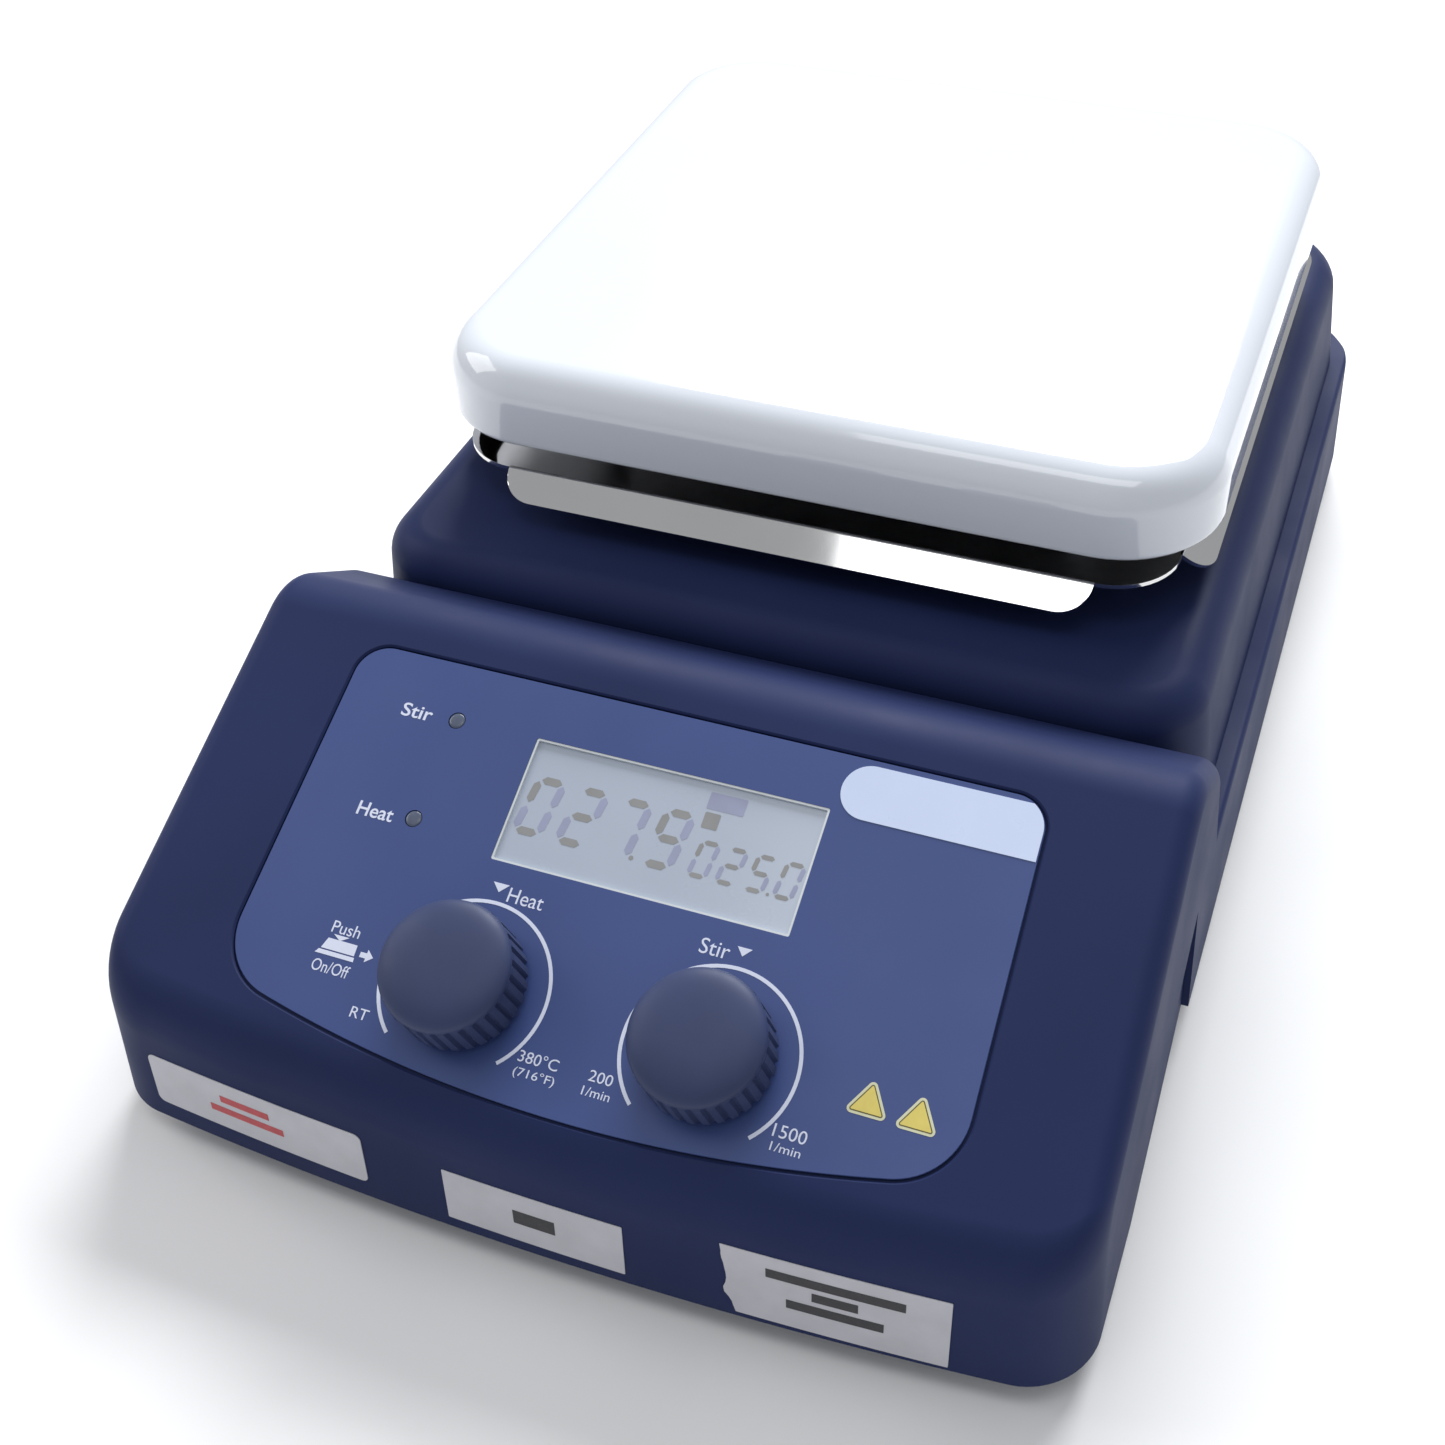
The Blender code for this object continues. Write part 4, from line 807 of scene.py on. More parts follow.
def make_shield():
    pieces, edge = [], []
    for quarter in range(4):
        half = SHIELD_HALF if quarter % 2 else (SHIELD_HALF[1], SHIELD_HALF[0])
        reach, half_length = half[0], half[1] - SHIELD_CORNER
        turn = Matrix.Rotation(quarter * math.pi / 2, 4, "Z")
        pieces.append(turn_mesh(flap(reach, half_length), Matrix.Translation((0, PLATE_Y, 0)) @ turn))
        start = reach - BEND_RADIUS * math.tan(FLAP_SLOPE / 2)
        centre = (-half_length, reach - SHIELD_CORNER)
        side = [(x, start) for x in reversed(flap_columns(half_length))]
        side += list(arc(centre, SHIELD_CORNER, math.pi / 2, math.pi, 12))
        edge += [tuple((turn @ Vector((x, y, 0))).xy) for x, y in side]
    deselect()
    bpy.ops.mesh.primitive_circle_add(vertices=len(edge), fill_type="NGON")
    top = newest("top")
    for vert, (x, y) in zip(top.data.vertices, edge):
        vert.co = (x, y + PLATE_Y, SHIELD_TOP)
    sheet = join("shield_sheet", [top] + pieces)
    take(sheet)
    bpy.ops.object.mode_set(mode="EDIT")
    bpy.ops.mesh.select_all(action="SELECT")
    bpy.ops.mesh.remove_doubles(threshold=0.02 * MM)
    bpy.ops.mesh.normals_make_consistent(inside=False)
    mesh = bmesh.from_edit_mesh(sheet.data)
    if max(mesh.faces, key=lambda face: face.calc_area()).normal.z < 0:
        bpy.ops.mesh.flip_normals()
    bpy.ops.object.mode_set(mode="OBJECT")
    apply(sheet, "SOLIDIFY", thickness=SHEET, offset=-1, use_even_offset=True)
    apply(sheet, "BEVEL", width=0.22 * MM, segments=2, limit_method="ANGLE",
          angle_limit=math.radians(50))
    for x in (-PILLAR_REACH, PILLAR_REACH):
        for y in (PLATE_Y - PILLAR_REACH, PLATE_Y + PILLAR_REACH):
            low, high = SHIELD_TOP - WALL, SHIELD_TOP + WALL
            carve(sheet, rod("pillar_hole", PILLAR_HOLE, low, high, (x, y), 32))
    smooth(sheet, 30)
    give(sheet, "base", MIRROR, "polished_steel", "heat_shield")


# Panel film, display and lamps


def make_film():
    levels = [(0, -FILM_THICKNESS), (0, -0.12 * MM), (-0.1 * MM, 0)]
    film = on_panel(loft("panel_film", [at_height(film_outline(more), z) for more, z in levels]))
    carve(film, window_tool("window", 0, -FILM_RECESS, FILM_RECESS))
    for place, radius in panel_holes(LAMP_FIT):
        carve(film, on_panel(rod("hole", radius, -FILM_RECESS, FILM_RECESS), *place))
    smooth(film, 20)
    give(film, "base", FILM, "panel_film", "panel_overlay")


def segment(name, start, end, half_width):
    """One bar of a digit: a slim hexagon from start to end."""
    start, end = Vector(start), Vector(end)
    along = (end - start).normalized()
    across = Vector((-along.y, along.x)) * half_width
    near, far = start + along * half_width, end - along * half_width
    points = [start, near - across, far - across, end, far + across, near + across]
    return slab(name, [tuple(point) for point in points], 0, PRINT_THICKNESS)


# The bars of each digit, clockwise from the top one, with g in the middle
SEGMENTS = {"0": "abcdef", "2": "abged", "5": "afgcd", "7": "abc", "9": "abfgcd"}

# Signs, their left edges, low edge, width, height and half stroke, in mm on the panel
READINGS = (
    ("0279", (-28.4, -18.7, -9.0, 0.4), 63.2, 5.4, 11.6, 0.85),
    ("0250", (10.1, 16.1, 22.2, 28.3), 63.1, 3.5, 7.2, 0.5),
)


def digit(sign, left, low, width, height, half_width):
    """The bars of a seven-bar digit, leaning to the right, as (grey, lilac) pieces."""
    lean, gap = 0.13, half_width * 1.15
    ends = {
        "a": ((0, 1), (1, 1)), "b": ((1, 1), (1, 0.5)), "c": ((1, 0.5), (1, 0)),
        "d": ((0, 0), (1, 0)), "e": ((0, 0.5), (0, 0)), "f": ((0, 1), (0, 0.5)),
        "g": ((0, 0.5), (1, 0.5)),
    }
    grey, lilac = [], []
    for bar in SEGMENTS[sign]:
        points = []
        for across, up in ends[bar]:
            x = left + across * width + lean * up * height
            points.append(Vector((x, low + up * height)))
        along = (points[1] - points[0]).normalized() * gap * 0.45
        made = segment("bar", points[0] + along, points[1] - along, half_width)
        (grey if bar in "afgd" else lilac).append(made)
    return grey, lilac


def make_display():
    bed = -FILM_RECESS + DISPLAY_LIFT
    shape = rectangle(*(side - 0.2 * MM for side in WINDOW_SIZE), WINDOW_CORNER, 4)
    face = slab("display_face", shape, bed, bed + DISPLAY_THICKNESS)
    give(on_panel(face, *WINDOW_PLACE), "base", GLASS_FACE, "display_glass", "display_window")
    # The rim's light grey is a painted highlight: the clear window's edge catching light
    outer = [side - 0.06 * MM for side in WINDOW_SIZE]
    inner = [side - 0.9 * MM for side in WINDOW_SIZE]
    rim = slab("display_rim", rectangle(*outer, WINDOW_CORNER, 4), -0.8 * MM, -0.12 * MM)
    carve(rim, slab("rim_hole", rectangle(*inner, 0.3 * MM, 4), -FILM_RECESS, FILM_RECESS))
    give(on_panel(rim, *WINDOW_PLACE), "base", WINDOW_EDGE_HIGHLIGHT, "display_glass")
    grey, lilac = [], []
    for signs, lefts, *sizes in READINGS:
        for sign, left in zip(signs, lefts):
            bars = digit(sign, left * MM, *(size * MM for size in sizes))
            grey += bars[0]
            lilac += bars[1]
    for right, up, size in ((-2.3, 63.3, 1.0), (27.1, 63.0, 0.7)):
        point = rod("point", size / 2 * MM, 0, PRINT_THICKNESS, steps=20)
        grey.append(turn_mesh(point, Matrix.Translation((right * MM, up * MM, 0))))
    tag = rectangle(8.0 * MM, 3.7 * MM, 0.3 * MM, 3)
    lilac.append(slab("tag", tag, 0, PRINT_THICKNESS, (13.2 * MM, 79.2 * MM)))
    icon = rectangle(3.4 * MM, 3.5 * MM, 0.3 * MM, 3)
    grey.append(slab("icon", icon, 0, PRINT_THICKNESS, (11.1 * MM, 74.9 * MM)))
    finished = (("digits_grey", grey, SEGMENT_GREY), ("digits_lilac", lilac, SEGMENT_LILAC))
    for name, bars, material in finished:
        piece = on_panel(join(name, bars), above=-FILM_RECESS + DIGIT_LIFT)
        give(piece, "base", material, "display_glass")


def make_lamps():
    for name, place in LAMP_PLACES.items():
        lens = spun(name + "_lens", [
            (0.2 * MM, -6 * MM), (LAMP_RADIUS, -6 * MM), (LAMP_RADIUS, -0.25 * MM),
            (LAMP_RADIUS * 0.93, -0.08 * MM), (LAMP_RADIUS * 0.7, 0), (LAMP_RADIUS * 0.3, 0.03 * MM),
            (0.05 * MM, 0.03 * MM)], steps=40)
        smooth(lens, 50)
        give(on_panel(lens, *place), "base", LENS, "lamp_lens", name + "_lamp")


# Printing on the panel


def lettering(words, left, right, low, high, bold=0.0):
    """Words fitted to a box on the panel, in mm."""
    deselect()
    bpy.ops.object.text_add()
    text = newest("words")
    text.data.body = words
    text.data.extrude = PRINT_THICKNESS / 2
    text.data.offset = bold
    text.data.resolution_u = 4
    bpy.ops.object.convert(target="MESH")
    piece = newest("words")
    xs = [vert.co.x for vert in piece.data.vertices]
    ys = [vert.co.y for vert in piece.data.vertices]
    least_x, least_y = min(xs), min(ys)
    widen, heighten = max(xs) - least_x, max(ys) - least_y
    for vert in piece.data.vertices:
        vert.co.x = (left + (vert.co.x - least_x) / widen * (right - left)) * MM
        vert.co.y = (low + (vert.co.y - least_y) / heighten * (high - low)) * MM
        vert.co.z += PRINT_THICKNESS / 2
    return piece


def flat_shape(points):
    """A printed shape, from points on the panel in mm."""
    return slab("shape", [(x * MM, y * MM) for x, y in points], 0, PRINT_THICKNESS)


def scale_arc(place, radius, half_width, start, end):
    """A band round a knob, between angles measured clockwise from up the slope."""
    centre = (place[0] / MM, place[1] / MM)
    first, last = math.radians(90 - start), math.radians(90 - end)
    outer = list(arc(centre, radius + half_width, first, last, 64))
    inner = list(arc(centre, radius - half_width, last, first, 64))
    return flat_shape(outer + inner)


def make_print():
    pieces = [
        lettering("Stir", -62.2, -55.0, 81.0, 84.1, 0.012),
        lettering("Heat", -62.7, -54.4, 57.5, 60.6, 0.012),
        lettering("Heat", -23.9, -16.1, 47.7, 50.8),
        lettering("Stir", 17.7, 23.9, 48.0, 51.2),
        lettering("RT", -46.4, -42.5, 17.0, 19.2),
        lettering("380\N{DEGREE SIGN}C", -9.7, -1.3, 18.0, 20.4),
        lettering("(716\N{DEGREE SIGN}F)", -9.7, -1.0, 14.7, 17.0),
        lettering("200", 5.2, 10.1, 18.2, 20.4),
        lettering("1/min", 4.8, 10.6, 15.3, 17.1),
        lettering("1500", 42.8, 49.4, 18.0, 20.5),
        lettering("1/min", 43.1, 49.1, 15.4, 17.1),
        lettering("Push", -57.3, -51.0, 32.3, 34.8),
        lettering("On/Off", -58.4, -50.0, 23.9, 26.4),
        flat_shape([(-27.9, 51.1), (-26.1, 49.2), (-24.3, 51.1)]),
        flat_shape([(25.0, 51.2), (26.5, 49.4), (28.1, 51.2)]),
        flat_shape([(-56.4, 32.0), (-54.6, 30.9), (-52.8, 32.0)]),
        flat_shape([(-57.2, 31.0), (-58.0, 28.7), (-50.4, 28.7), (-50.5, 31.0)]),
        flat_shape([(-58.3, 28.4), (-58.9, 27.5), (-50.1, 27.5), (-50.2, 28.4)]),
        flat_shape([(-49.3, 30.0), (-49.3, 28.9), (-47.9, 28.9), (-47.9, 28.1), (-46.3, 29.4),
                    (-47.9, 30.8), (-47.9, 30.0)]),
    ]
    for place in KNOB_PLACES.values():
        pieces.append(scale_arc(place, SCALE_RADIUS, SCALE_HALF_WIDTH, SCALE_START, SCALE_END))
    give(on_panel(join("panel_print", pieces), above=PRINT_LIFT), "base", PRINT, "panel_film")


def rounded_triangle(centre, radius, corner, grow=0.0):
    """A triangle with its point up the slope, round corners and all sides moved out by grow."""
    reach = radius + 2 * grow
    corners = []
    for turn in (math.pi / 2, math.pi * 7 / 6, math.pi * 11 / 6):
        across, up = reach * 1.02 * math.cos(turn), reach * math.sin(turn)
        corners.append(Vector((centre[0] + across, centre[1] + up)))
    return [tuple(point) for point in rounded_polygon(corners, [corner + grow] * 3, 8)]


def make_caution_marks():
    """Plain yellow triangles with a dark inner line, and nothing on them."""
    layers = {"edge": [], "line": [], "field": []}
    radius, corner = 5.0, 0.9
    for centre in ((58.5, 28.7), (68.2, 28.4)):
        for layer, grow in (("edge", 0), ("line", -0.5), ("field", -0.72)):
            layers[layer].append(flat_shape(rounded_triangle(centre, radius, corner, grow)))
    lifts = (("edge", 1, PALE_YELLOW), ("line", 2.2, MARK_LINE), ("field", 3.4, YELLOW))
    for name, lift, material in lifts:
        piece = on_panel(join("caution_" + name, layers[name]), above=PRINT_LIFT * 1.2 * lift)
        give(piece, "base", material, "panel_film")


def make_badge():
    """A plain white plate with a round left end. Its right end follows the film's corner."""
    low, high, left = 82.4 * MM, 94.2 * MM, 34.9 * MM
    radius = (high - low) / 2
    corner = (FILM_HALF_WIDTH - FILM_HIGH_CORNER, FILM_HIGH - FILM_HIGH_CORNER)
    reach = FILM_HIGH_CORNER - 0.1 * MM
    points = list(arc((left + radius, low + radius), radius, math.pi / 2, math.pi * 3 / 2, 24))
    points += [(FILM_HALF_WIDTH, low)]
    points += list(arc(corner, reach, 0, math.asin((high - corner[1]) / reach), 10))
    badge = slab("badge", points, 0, 0.12 * MM)
    apply(badge, "BEVEL", width=0.04 * MM, segments=2, limit_method="ANGLE")
    smooth(badge, 40)
    give(on_panel(badge, above=PRINT_LIFT), "base", BADGE, "panel_film")


# Knobs


def groove(angle):
    """0 on a rib's crest, 1 in the groove between two ribs."""
    share = (angle * KNOB_RIBS / math.tau) % 1
    across = abs(share - 0.5) / 0.5
    return min(max((0.46 - across) / 0.3, 0), 1) ** 0.8


def make_knob(name, place):
    """A ribbed skirt under a smooth domed cap. Each level is radius, height and depth of the ribs."""
    low, top = KNOB_RISE, KNOB_RISE + KNOB_HEIGHT
    cap = top - KNOB_CAP
    rib_low, rib_high = low + 0.9 * MM, cap - 0.9 * MM
    levels = [
        (KNOB_BORE, KNOB_BORE_TOP, 0), (KNOB_BORE, KNOB_HOLLOW, 0), (11.2 * MM, KNOB_HOLLOW, 0),
        (11.5 * MM, low, 0), (13.0 * MM, low, 0), (13.45 * MM, low + 0.15 * MM, 0.7),
        (KNOB_RADIUS - 0.04 * MM, low + 0.5 * MM, 1), (KNOB_RADIUS, rib_low, 1),
        (KNOB_RADIUS - 0.05 * MM, (rib_low + rib_high) / 2, 1), (KNOB_RADIUS - 0.12 * MM, rib_high, 1),
        (KNOB_RADIUS - 0.16 * MM, cap - 0.5 * MM, 0.85), (KNOB_RADIUS - 0.22 * MM, cap - 0.22 * MM, 0.5),
        (KNOB_RADIUS - 0.28 * MM, cap, 0.12), (KNOB_RADIUS - 0.27 * MM, cap + 0.12 * MM, 0),
    ]
    reach, dome_low = KNOB_RADIUS - 0.27 * MM, cap + 0.12 * MM
    dome_rise = KNOB_CAP - 0.12 * MM
    for step in range(1, 20):
        turn = math.pi / 2 * step / 20
        radius = reach * math.cos(turn) ** (2 / 2.7)
        levels.append((radius, dome_low + dome_rise * math.sin(turn) ** (2 / 2.25), 0))
    levels.append((0.3 * MM, top, 0))
    rings = []
    steps = 8 * KNOB_RIBS
    for radius, height, depth in levels:
        ring = []
        for step in range(steps):
            angle = math.tau * step / steps
            out = radius - depth * KNOB_RIB_DEPTH * groove(angle)
            ring.append((out * math.cos(angle), out * math.sin(angle), height))
        rings.append(ring)
    knob = on_panel(loft(name + "_knob_cap", rings), *place)
    smooth(knob, 48)
    give(knob, name + "_control", KNOB, "knob_plastic", name + "_knob")


# Sockets at the back


def along_back(piece, x, z, out=0.0):
    """Turns a piece made standing at the origin so that its top faces the back."""
    place = Matrix.Translation((x, SOCKET_FACE_Y + out, z))
    return turn_mesh(piece, place @ Matrix.Rotation(-math.pi / 2, 4, "X"))


def make_inlet():
    """The mains inlet: a flange with two cut corners, its well and the fuse drawer's slot."""
    low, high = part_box("inlet_socket")
    middle_x, middle_z = (low.x + high.x) / 2, (low.z + high.z) / 2
    body = block("inlet_body", high - low, (low + high) / 2, 0.6 * MM)
    drawer_low, drawer_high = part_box("fuse_drawer")
    well_low, well_high = drawer_high.z + 1.5 * MM, high.z - 1.4 * MM
    half, cut = WELL_HALF_WIDTH, WELL_CUT
    well_middle = (well_low + well_high) / 2
    rise = (well_high - well_low) / 2
    corners = [(-half, -rise), (half, -rise), (half, rise - cut), (half - cut, rise),
               (cut - half, rise), (-half, rise - cut)]
    mirrored = [Vector((-x, -z)) for x, z in corners]
    shape = [tuple(point) for point in rounded_polygon(mirrored, [1 * MM] * 6, 4)]
    rings = []
    for more, level in ((0, -WELL_DEPTH), (0, -0.6 * MM), (0.6 * MM, 0), (0.6 * MM, 2 * MM)):
        rings.append([(x * (1 + more / half), z * (1 + more / rise), level) for x, z in shape])
    carve(body, along_back(loft("inlet_well", rings), middle_x, well_middle))
    size = (drawer_high.x - drawer_low.x + 2 * CLEAR, 2 * (high.y - drawer_low.y),
            drawer_high.z - drawer_low.z + 2 * CLEAR)
    carve(body, block("slot", size, (middle_x, high.y, (drawer_low.z + drawer_high.z) / 2)))
    smooth(body, 35)
    give(body, "base", BLACK, "black_plastic", "inlet_socket")
    for name in ("live", "neutral", "earth"):
        pin_low, pin_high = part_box("inlet_pin_" + name)
        pin = block("pin_" + name, pin_high - pin_low, (pin_low + pin_high) / 2, 0.55 * MM, 4)
        smooth(pin, 35)
        give(pin, "base", NICKEL, "nickel", "inlet_pin_" + name)


def make_drawer():
    """The fuse drawer, with a finger notch in its front."""
    low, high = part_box("fuse_drawer")
    size = high - low
    middle = (low + high) / 2
    drawer = block("fuse_tray", size, middle, 0.3 * MM)
    floor = low.z + 1 * MM
    for name in ("spare_fuse", "working_fuse"):
        fuse_low, fuse_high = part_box(name)
        pocket = fuse_high - fuse_low + Vector((0.6, 0.6, 0)) * MM
        place = (fuse_low + fuse_high) / 2
        place.z = floor + size.z / 2
        carve(drawer, block("pocket", (pocket.x, pocket.y, size.z), place))
    notch = rod("notch", 3.2 * MM, -0.9 * MM, MM, steps=48)
    lying = Matrix.Translation((middle.x, high.y, high.z)) @ Matrix.Rotation(-math.pi / 2, 4, "X")
    carve(drawer, turn_mesh(notch, lying))
    smooth(drawer, 35)
    give(drawer, "fuse_tray", BLACK, "black_plastic", "fuse_drawer")
    for name in ("spare_fuse", "working_fuse"):
        fuse_low, fuse_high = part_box(name)
        centre, radius = (fuse_low + fuse_high) / 2, (fuse_high.z - fuse_low.z) / 2
        half = (fuse_high.x - fuse_low.x) / 2
        lying = Matrix.Translation(centre) @ Matrix.Rotation(math.pi / 2, 4, "Y")
        caps = []
        for side in (-1, 1):
            end, inner = side * half, side * (half - FUSE_CAP)
            profile = [(0.1 * MM, inner), (radius, inner), (radius, end - side * 0.4 * MM),
                       (radius - 0.4 * MM, end), (0.1 * MM, end)]
            caps.append(turn_mesh(spun("cap", profile if side > 0 else profile[::-1], steps=32), lying))
        ends = join(name + "_caps", caps)
        outwards(ends)
        smooth(ends, 40)
        give(ends, "fuse_tray", NICKEL, "nickel", name)
        reach = half - FUSE_CAP + 0.1 * MM
        glass = rod(name + "_tube", radius - 0.25 * MM, -reach, reach, steps=32)
        smooth(glass, 40)
        give(turn_mesh(glass, lying), "fuse_tray", FUSE_GLASS, "nickel")


def make_serial_socket():
    """The nine-pin serial socket: flange, D-shaped shell, two hexagon posts, insert and pins."""
    low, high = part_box("serial_socket")
    middle_x, middle_z = (low.x + high.x) / 2, (low.z + high.z) / 2
    flange = block("serial_flange", (high.x - low.x, 1 * MM, high.z - low.z),
                   (middle_x, SOCKET_FACE_Y - 0.9 * MM, middle_z), 0.35 * MM)

    def shell_shape(grow):
        corners = []
        for x, z in SERIAL_SHELL:
            out_x, out_z = math.copysign(1, x) * grow, math.copysign(1, z) * grow
            corners.append(Vector((x * MM + out_x, z * MM + out_z)))
        return [tuple(point) for point in rounded_polygon(corners, [1.8 * MM] * 4, 6)]

    shell = slab("serial_shell", shell_shape(0), -9 * MM, -0.05 * MM)
    carve(shell, slab("inside", shell_shape(-0.5 * MM), -8 * MM, 2 * MM))
    pieces = [along_back(shell, middle_x, middle_z)]
    hole = slab("hole", shell_shape(-0.05 * MM), -4 * MM, 4 * MM)
    carve(flange, along_back(hole, middle_x, middle_z))
    for side in (-1, 1):
        turns = [math.tau * step / 6 for step in range(6)]
        hexagon = [(SERIAL_POST_RADIUS * math.cos(turn), SERIAL_POST_RADIUS * math.sin(turn))
                   for turn in turns]
        post = slab("post", hexagon, -0.6 * MM, -0.05 * MM)
        carve(post, rod("thread", 1.2 * MM, -0.4 * MM, MM, steps=24))
        pieces.append(along_back(post, middle_x + side * SERIAL_POST_REACH, middle_z))
    socket = join("serial_metal", [flange] + pieces)
    smooth(socket, 35)
    give(socket, "base", NICKEL, "zinc_steel", "serial_socket")
    insert = slab("serial_insert", shell_shape(-0.55 * MM), -7.9 * MM, -5.2 * MM)
    give(along_back(insert, middle_x, middle_z), "base", BLACK, "black_plastic")
    pins = []
    profile = in_mm([(0.05, -7), (0.5, -7), (0.5, -1.2), (0.3, -0.8), (0.05, -0.75)])
    for row, count in SERIAL_ROWS:
        for number in range(count):
            x = (number - (count - 1) / 2) * SERIAL_PITCH
            pins.append(along_back(spun("pin", profile, steps=16), middle_x + x, middle_z + row))
    contacts = join("serial_pins", pins)
    smooth(contacts, 40)
    give(contacts, "base", GOLD, "nickel")


def make_probe_socket():
    """The round probe socket: a ring nut, a barrel and an insert with six contacts."""
    low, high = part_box("probe_socket")
    x, z = (low.x + high.x) / 2, (low.z + high.z) / 2
    radius, bore = (high.x - low.x) / 2, PROBE_BORE
    barrel, length = radius - 1.5 * MM, high.y - low.y
    ring = spun("probe_ring", [
        (0.2 * MM, -length), (barrel, -length), (barrel, -3 * MM), (radius, -3 * MM),
        (radius, -0.5 * MM), (radius - 0.5 * MM, 0), (bore + 0.5 * MM, 0), (bore, -0.5 * MM),
        (bore, -PROBE_DEPTH), (0.2 * MM, -PROBE_DEPTH)], steps=72)
    for side in range(12):
        turn = math.tau * side / 12
        place = (radius * math.cos(turn), radius * math.sin(turn))
        carve(ring, rod("slot", 0.5 * MM, -4 * MM, MM, place, 16))
    smooth(ring, 35)
    give(along_back(ring, x, z), "base", NICKEL, "nickel", "probe_socket")
    fit, bed, face = bore - 0.05 * MM, 0.05 * MM - PROBE_DEPTH, -4.7 * MM
    insert = spun("probe_insert", [
        (0.1 * MM, bed), (fit, bed), (fit, -5 * MM), (bore - 0.3 * MM, face),
        (0.1 * MM, face)], steps=48)
    smooth(insert, 35)
    give(along_back(insert, x, z), "base", BLACK, "black_plastic")
    pins = []
    profile = in_mm([(0.05, -6), (0.5, -6), (0.5, -1.6), (0.2, -1.2), (0.05, -1.2)])
    for number in range(6):
        turn = math.tau * (number + 0.5) / 6
        place = (x + PROBE_PIN_REACH * math.cos(turn), z + PROBE_PIN_REACH * math.sin(turn))
        pins.append(along_back(spun("pin", profile, steps=16), *place))
    contacts = join("probe_pins", pins)
    smooth(contacts, 40)
    give(contacts, "base", GOLD, "nickel")


def make_rear_plate():
    """The rear plate with its socket holes, and a cross-head screw in each corner."""
    low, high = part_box("rear_plate")
    plate = block("rear_panel", high - low, (low + high) / 2, 0.3 * MM)
    for name in ("inlet_socket", "serial_socket"):
        hole_low, hole_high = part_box(name)
        size = hole_high - hole_low + Vector((0.6, 0, 0.6)) * MM
        carve(plate, block("hole", size, (hole_low + hole_high) / 2))
    probe_low, probe_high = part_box("probe_socket")
    radius = (probe_high.x - probe_low.x) / 2 + CLEAR
    hole = rod("hole", radius, -8 * MM, 8 * MM, steps=64)
    middle_x, middle_z = (probe_low.x + probe_high.x) / 2, (probe_low.z + probe_high.z) / 2
    carve(plate, along_back(hole, middle_x, middle_z))
    smooth(plate, 35)
    give(plate, "base", BLACK, "black_plastic", "rear_plate")
    screws = []
    profile = in_mm([(0.1, 0), (2.6, 0), (2.5, 0.5), (1.8, 1), (0.9, 1.2), (0.1, 1.2)])
    for x in (low.x + SCREW_INSET, high.x - SCREW_INSET):
        for z in (low.z + SCREW_INSET, high.z - SCREW_INSET):
            screw = spun("screw", profile, steps=40)
            for turn in (0, math.pi / 2):
                slot = block("slot", (2.6 * MM, 0.5 * MM, 1 * MM), (0, 0, 1.2 * MM))
                carve(screw, turn_mesh(slot, Matrix.Rotation(turn + x * 20, 4, "Z")))
            screws.append(along_back(screw, x, z, high.y - SOCKET_FACE_Y))
    heads = join("rear_screws", screws)
    smooth(heads, 35)
    give(heads, "base", ZINC, "zinc_steel")


# Feet


def make_feet():
    """Round rubber feet, each with a well for its screw."""
    for place in ("front_left", "front_right", "rear_left", "rear_right"):
        low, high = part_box("foot_" + place)
        x, y = (low.x + high.x) / 2, (low.y + high.y) / 2
        radius, top = (high.x - low.x) / 2, high.z
        profile = [
            (1.8 * MM, top), (1.8 * MM, 4 * MM), (3.8 * MM, 4 * MM), (3.8 * MM, 0.2 * MM),
            (4.0 * MM, 0), (radius - 1.1 * MM, 0), (radius - 0.35 * MM, 0.25 * MM), (radius, 1 * MM),
            (radius * 0.95, 4.4 * MM), (radius * 0.95, 5.2 * MM), (radius * 0.88, 5.5 * MM),
            (radius * 0.88, top),
        ]
        turns = [math.tau * step / 64 for step in range(64)]
        rings = []
        for out, height in profile + profile[:1]:
            rings.append([(x + out * math.cos(turn), y + out * math.sin(turn), height)
                          for turn in turns])
        foot = tube("rubber_foot_" + place, rings)
        smooth(foot, 40)
        give(foot, "base", RUBBER, "foot_rubber", "foot_" + place)


# Labels on the front


def front_face(x, z, out):
    """A point this far outside the front face."""
    station = x / narrowing(z)
    drop = front_inset(station) * math.hypot(1, FRONT_LEAN)
    return Vector((x, FRONT + FRONT_LEAN * (z - SKIRT_BOTTOM) + drop - out, z))


def front_patch(name, left, right, low, high, out, thickness, rows=20, columns=40):
    """A thin sheet that follows the front face.

    left and right give its ends in mm at a share of its height, low and high its edges at an x.
    """
    deselect()
    bpy.ops.mesh.primitive_grid_add(x_subdivisions=columns, y_subdivisions=rows)
    piece = newest(name)
    for vert in piece.data.vertices:
        across, up = (vert.co.x + 1) / 2, (vert.co.y + 1) / 2
        up = (1 - math.cos(math.pi * up)) / 2
        x = (left(up) + across * (right(up) - left(up))) * MM
        z = (low(x / MM) + up * (high(x / MM) - low(x / MM))) * MM
        vert.co = front_face(x, z, out)
    apply(piece, "SOLIDIFY", thickness=thickness, offset=0)
    outwards(piece)
    return piece


def round_end(place, height, corner, sign):
    """The end of a label with round corners, as a function of the share of its height."""
    def end(up):
        to_edge = min(up, 1 - up) * height
        past = max(corner - to_edge, 0)
        return place - sign * (corner - math.sqrt(max(corner**2 - past**2, 0)))
    return end


def torn_end(place, seed):
    """A torn left end that wanders in and out."""
    chance = random.Random(seed)
    steps = [chance.uniform(-0.45, 0.45) for _ in range(12)]

    def end(up):
        at = up * 11
        near = min(int(at), 10)
        jag = steps[near] + (steps[near + 1] - steps[near]) * (at - near)
        return place + 2.9 * (1 - up) ** 1.6 - 1.1 * math.exp(-(((up - 0.3) / 0.1) ** 2)) + jag * 0.6
    return end


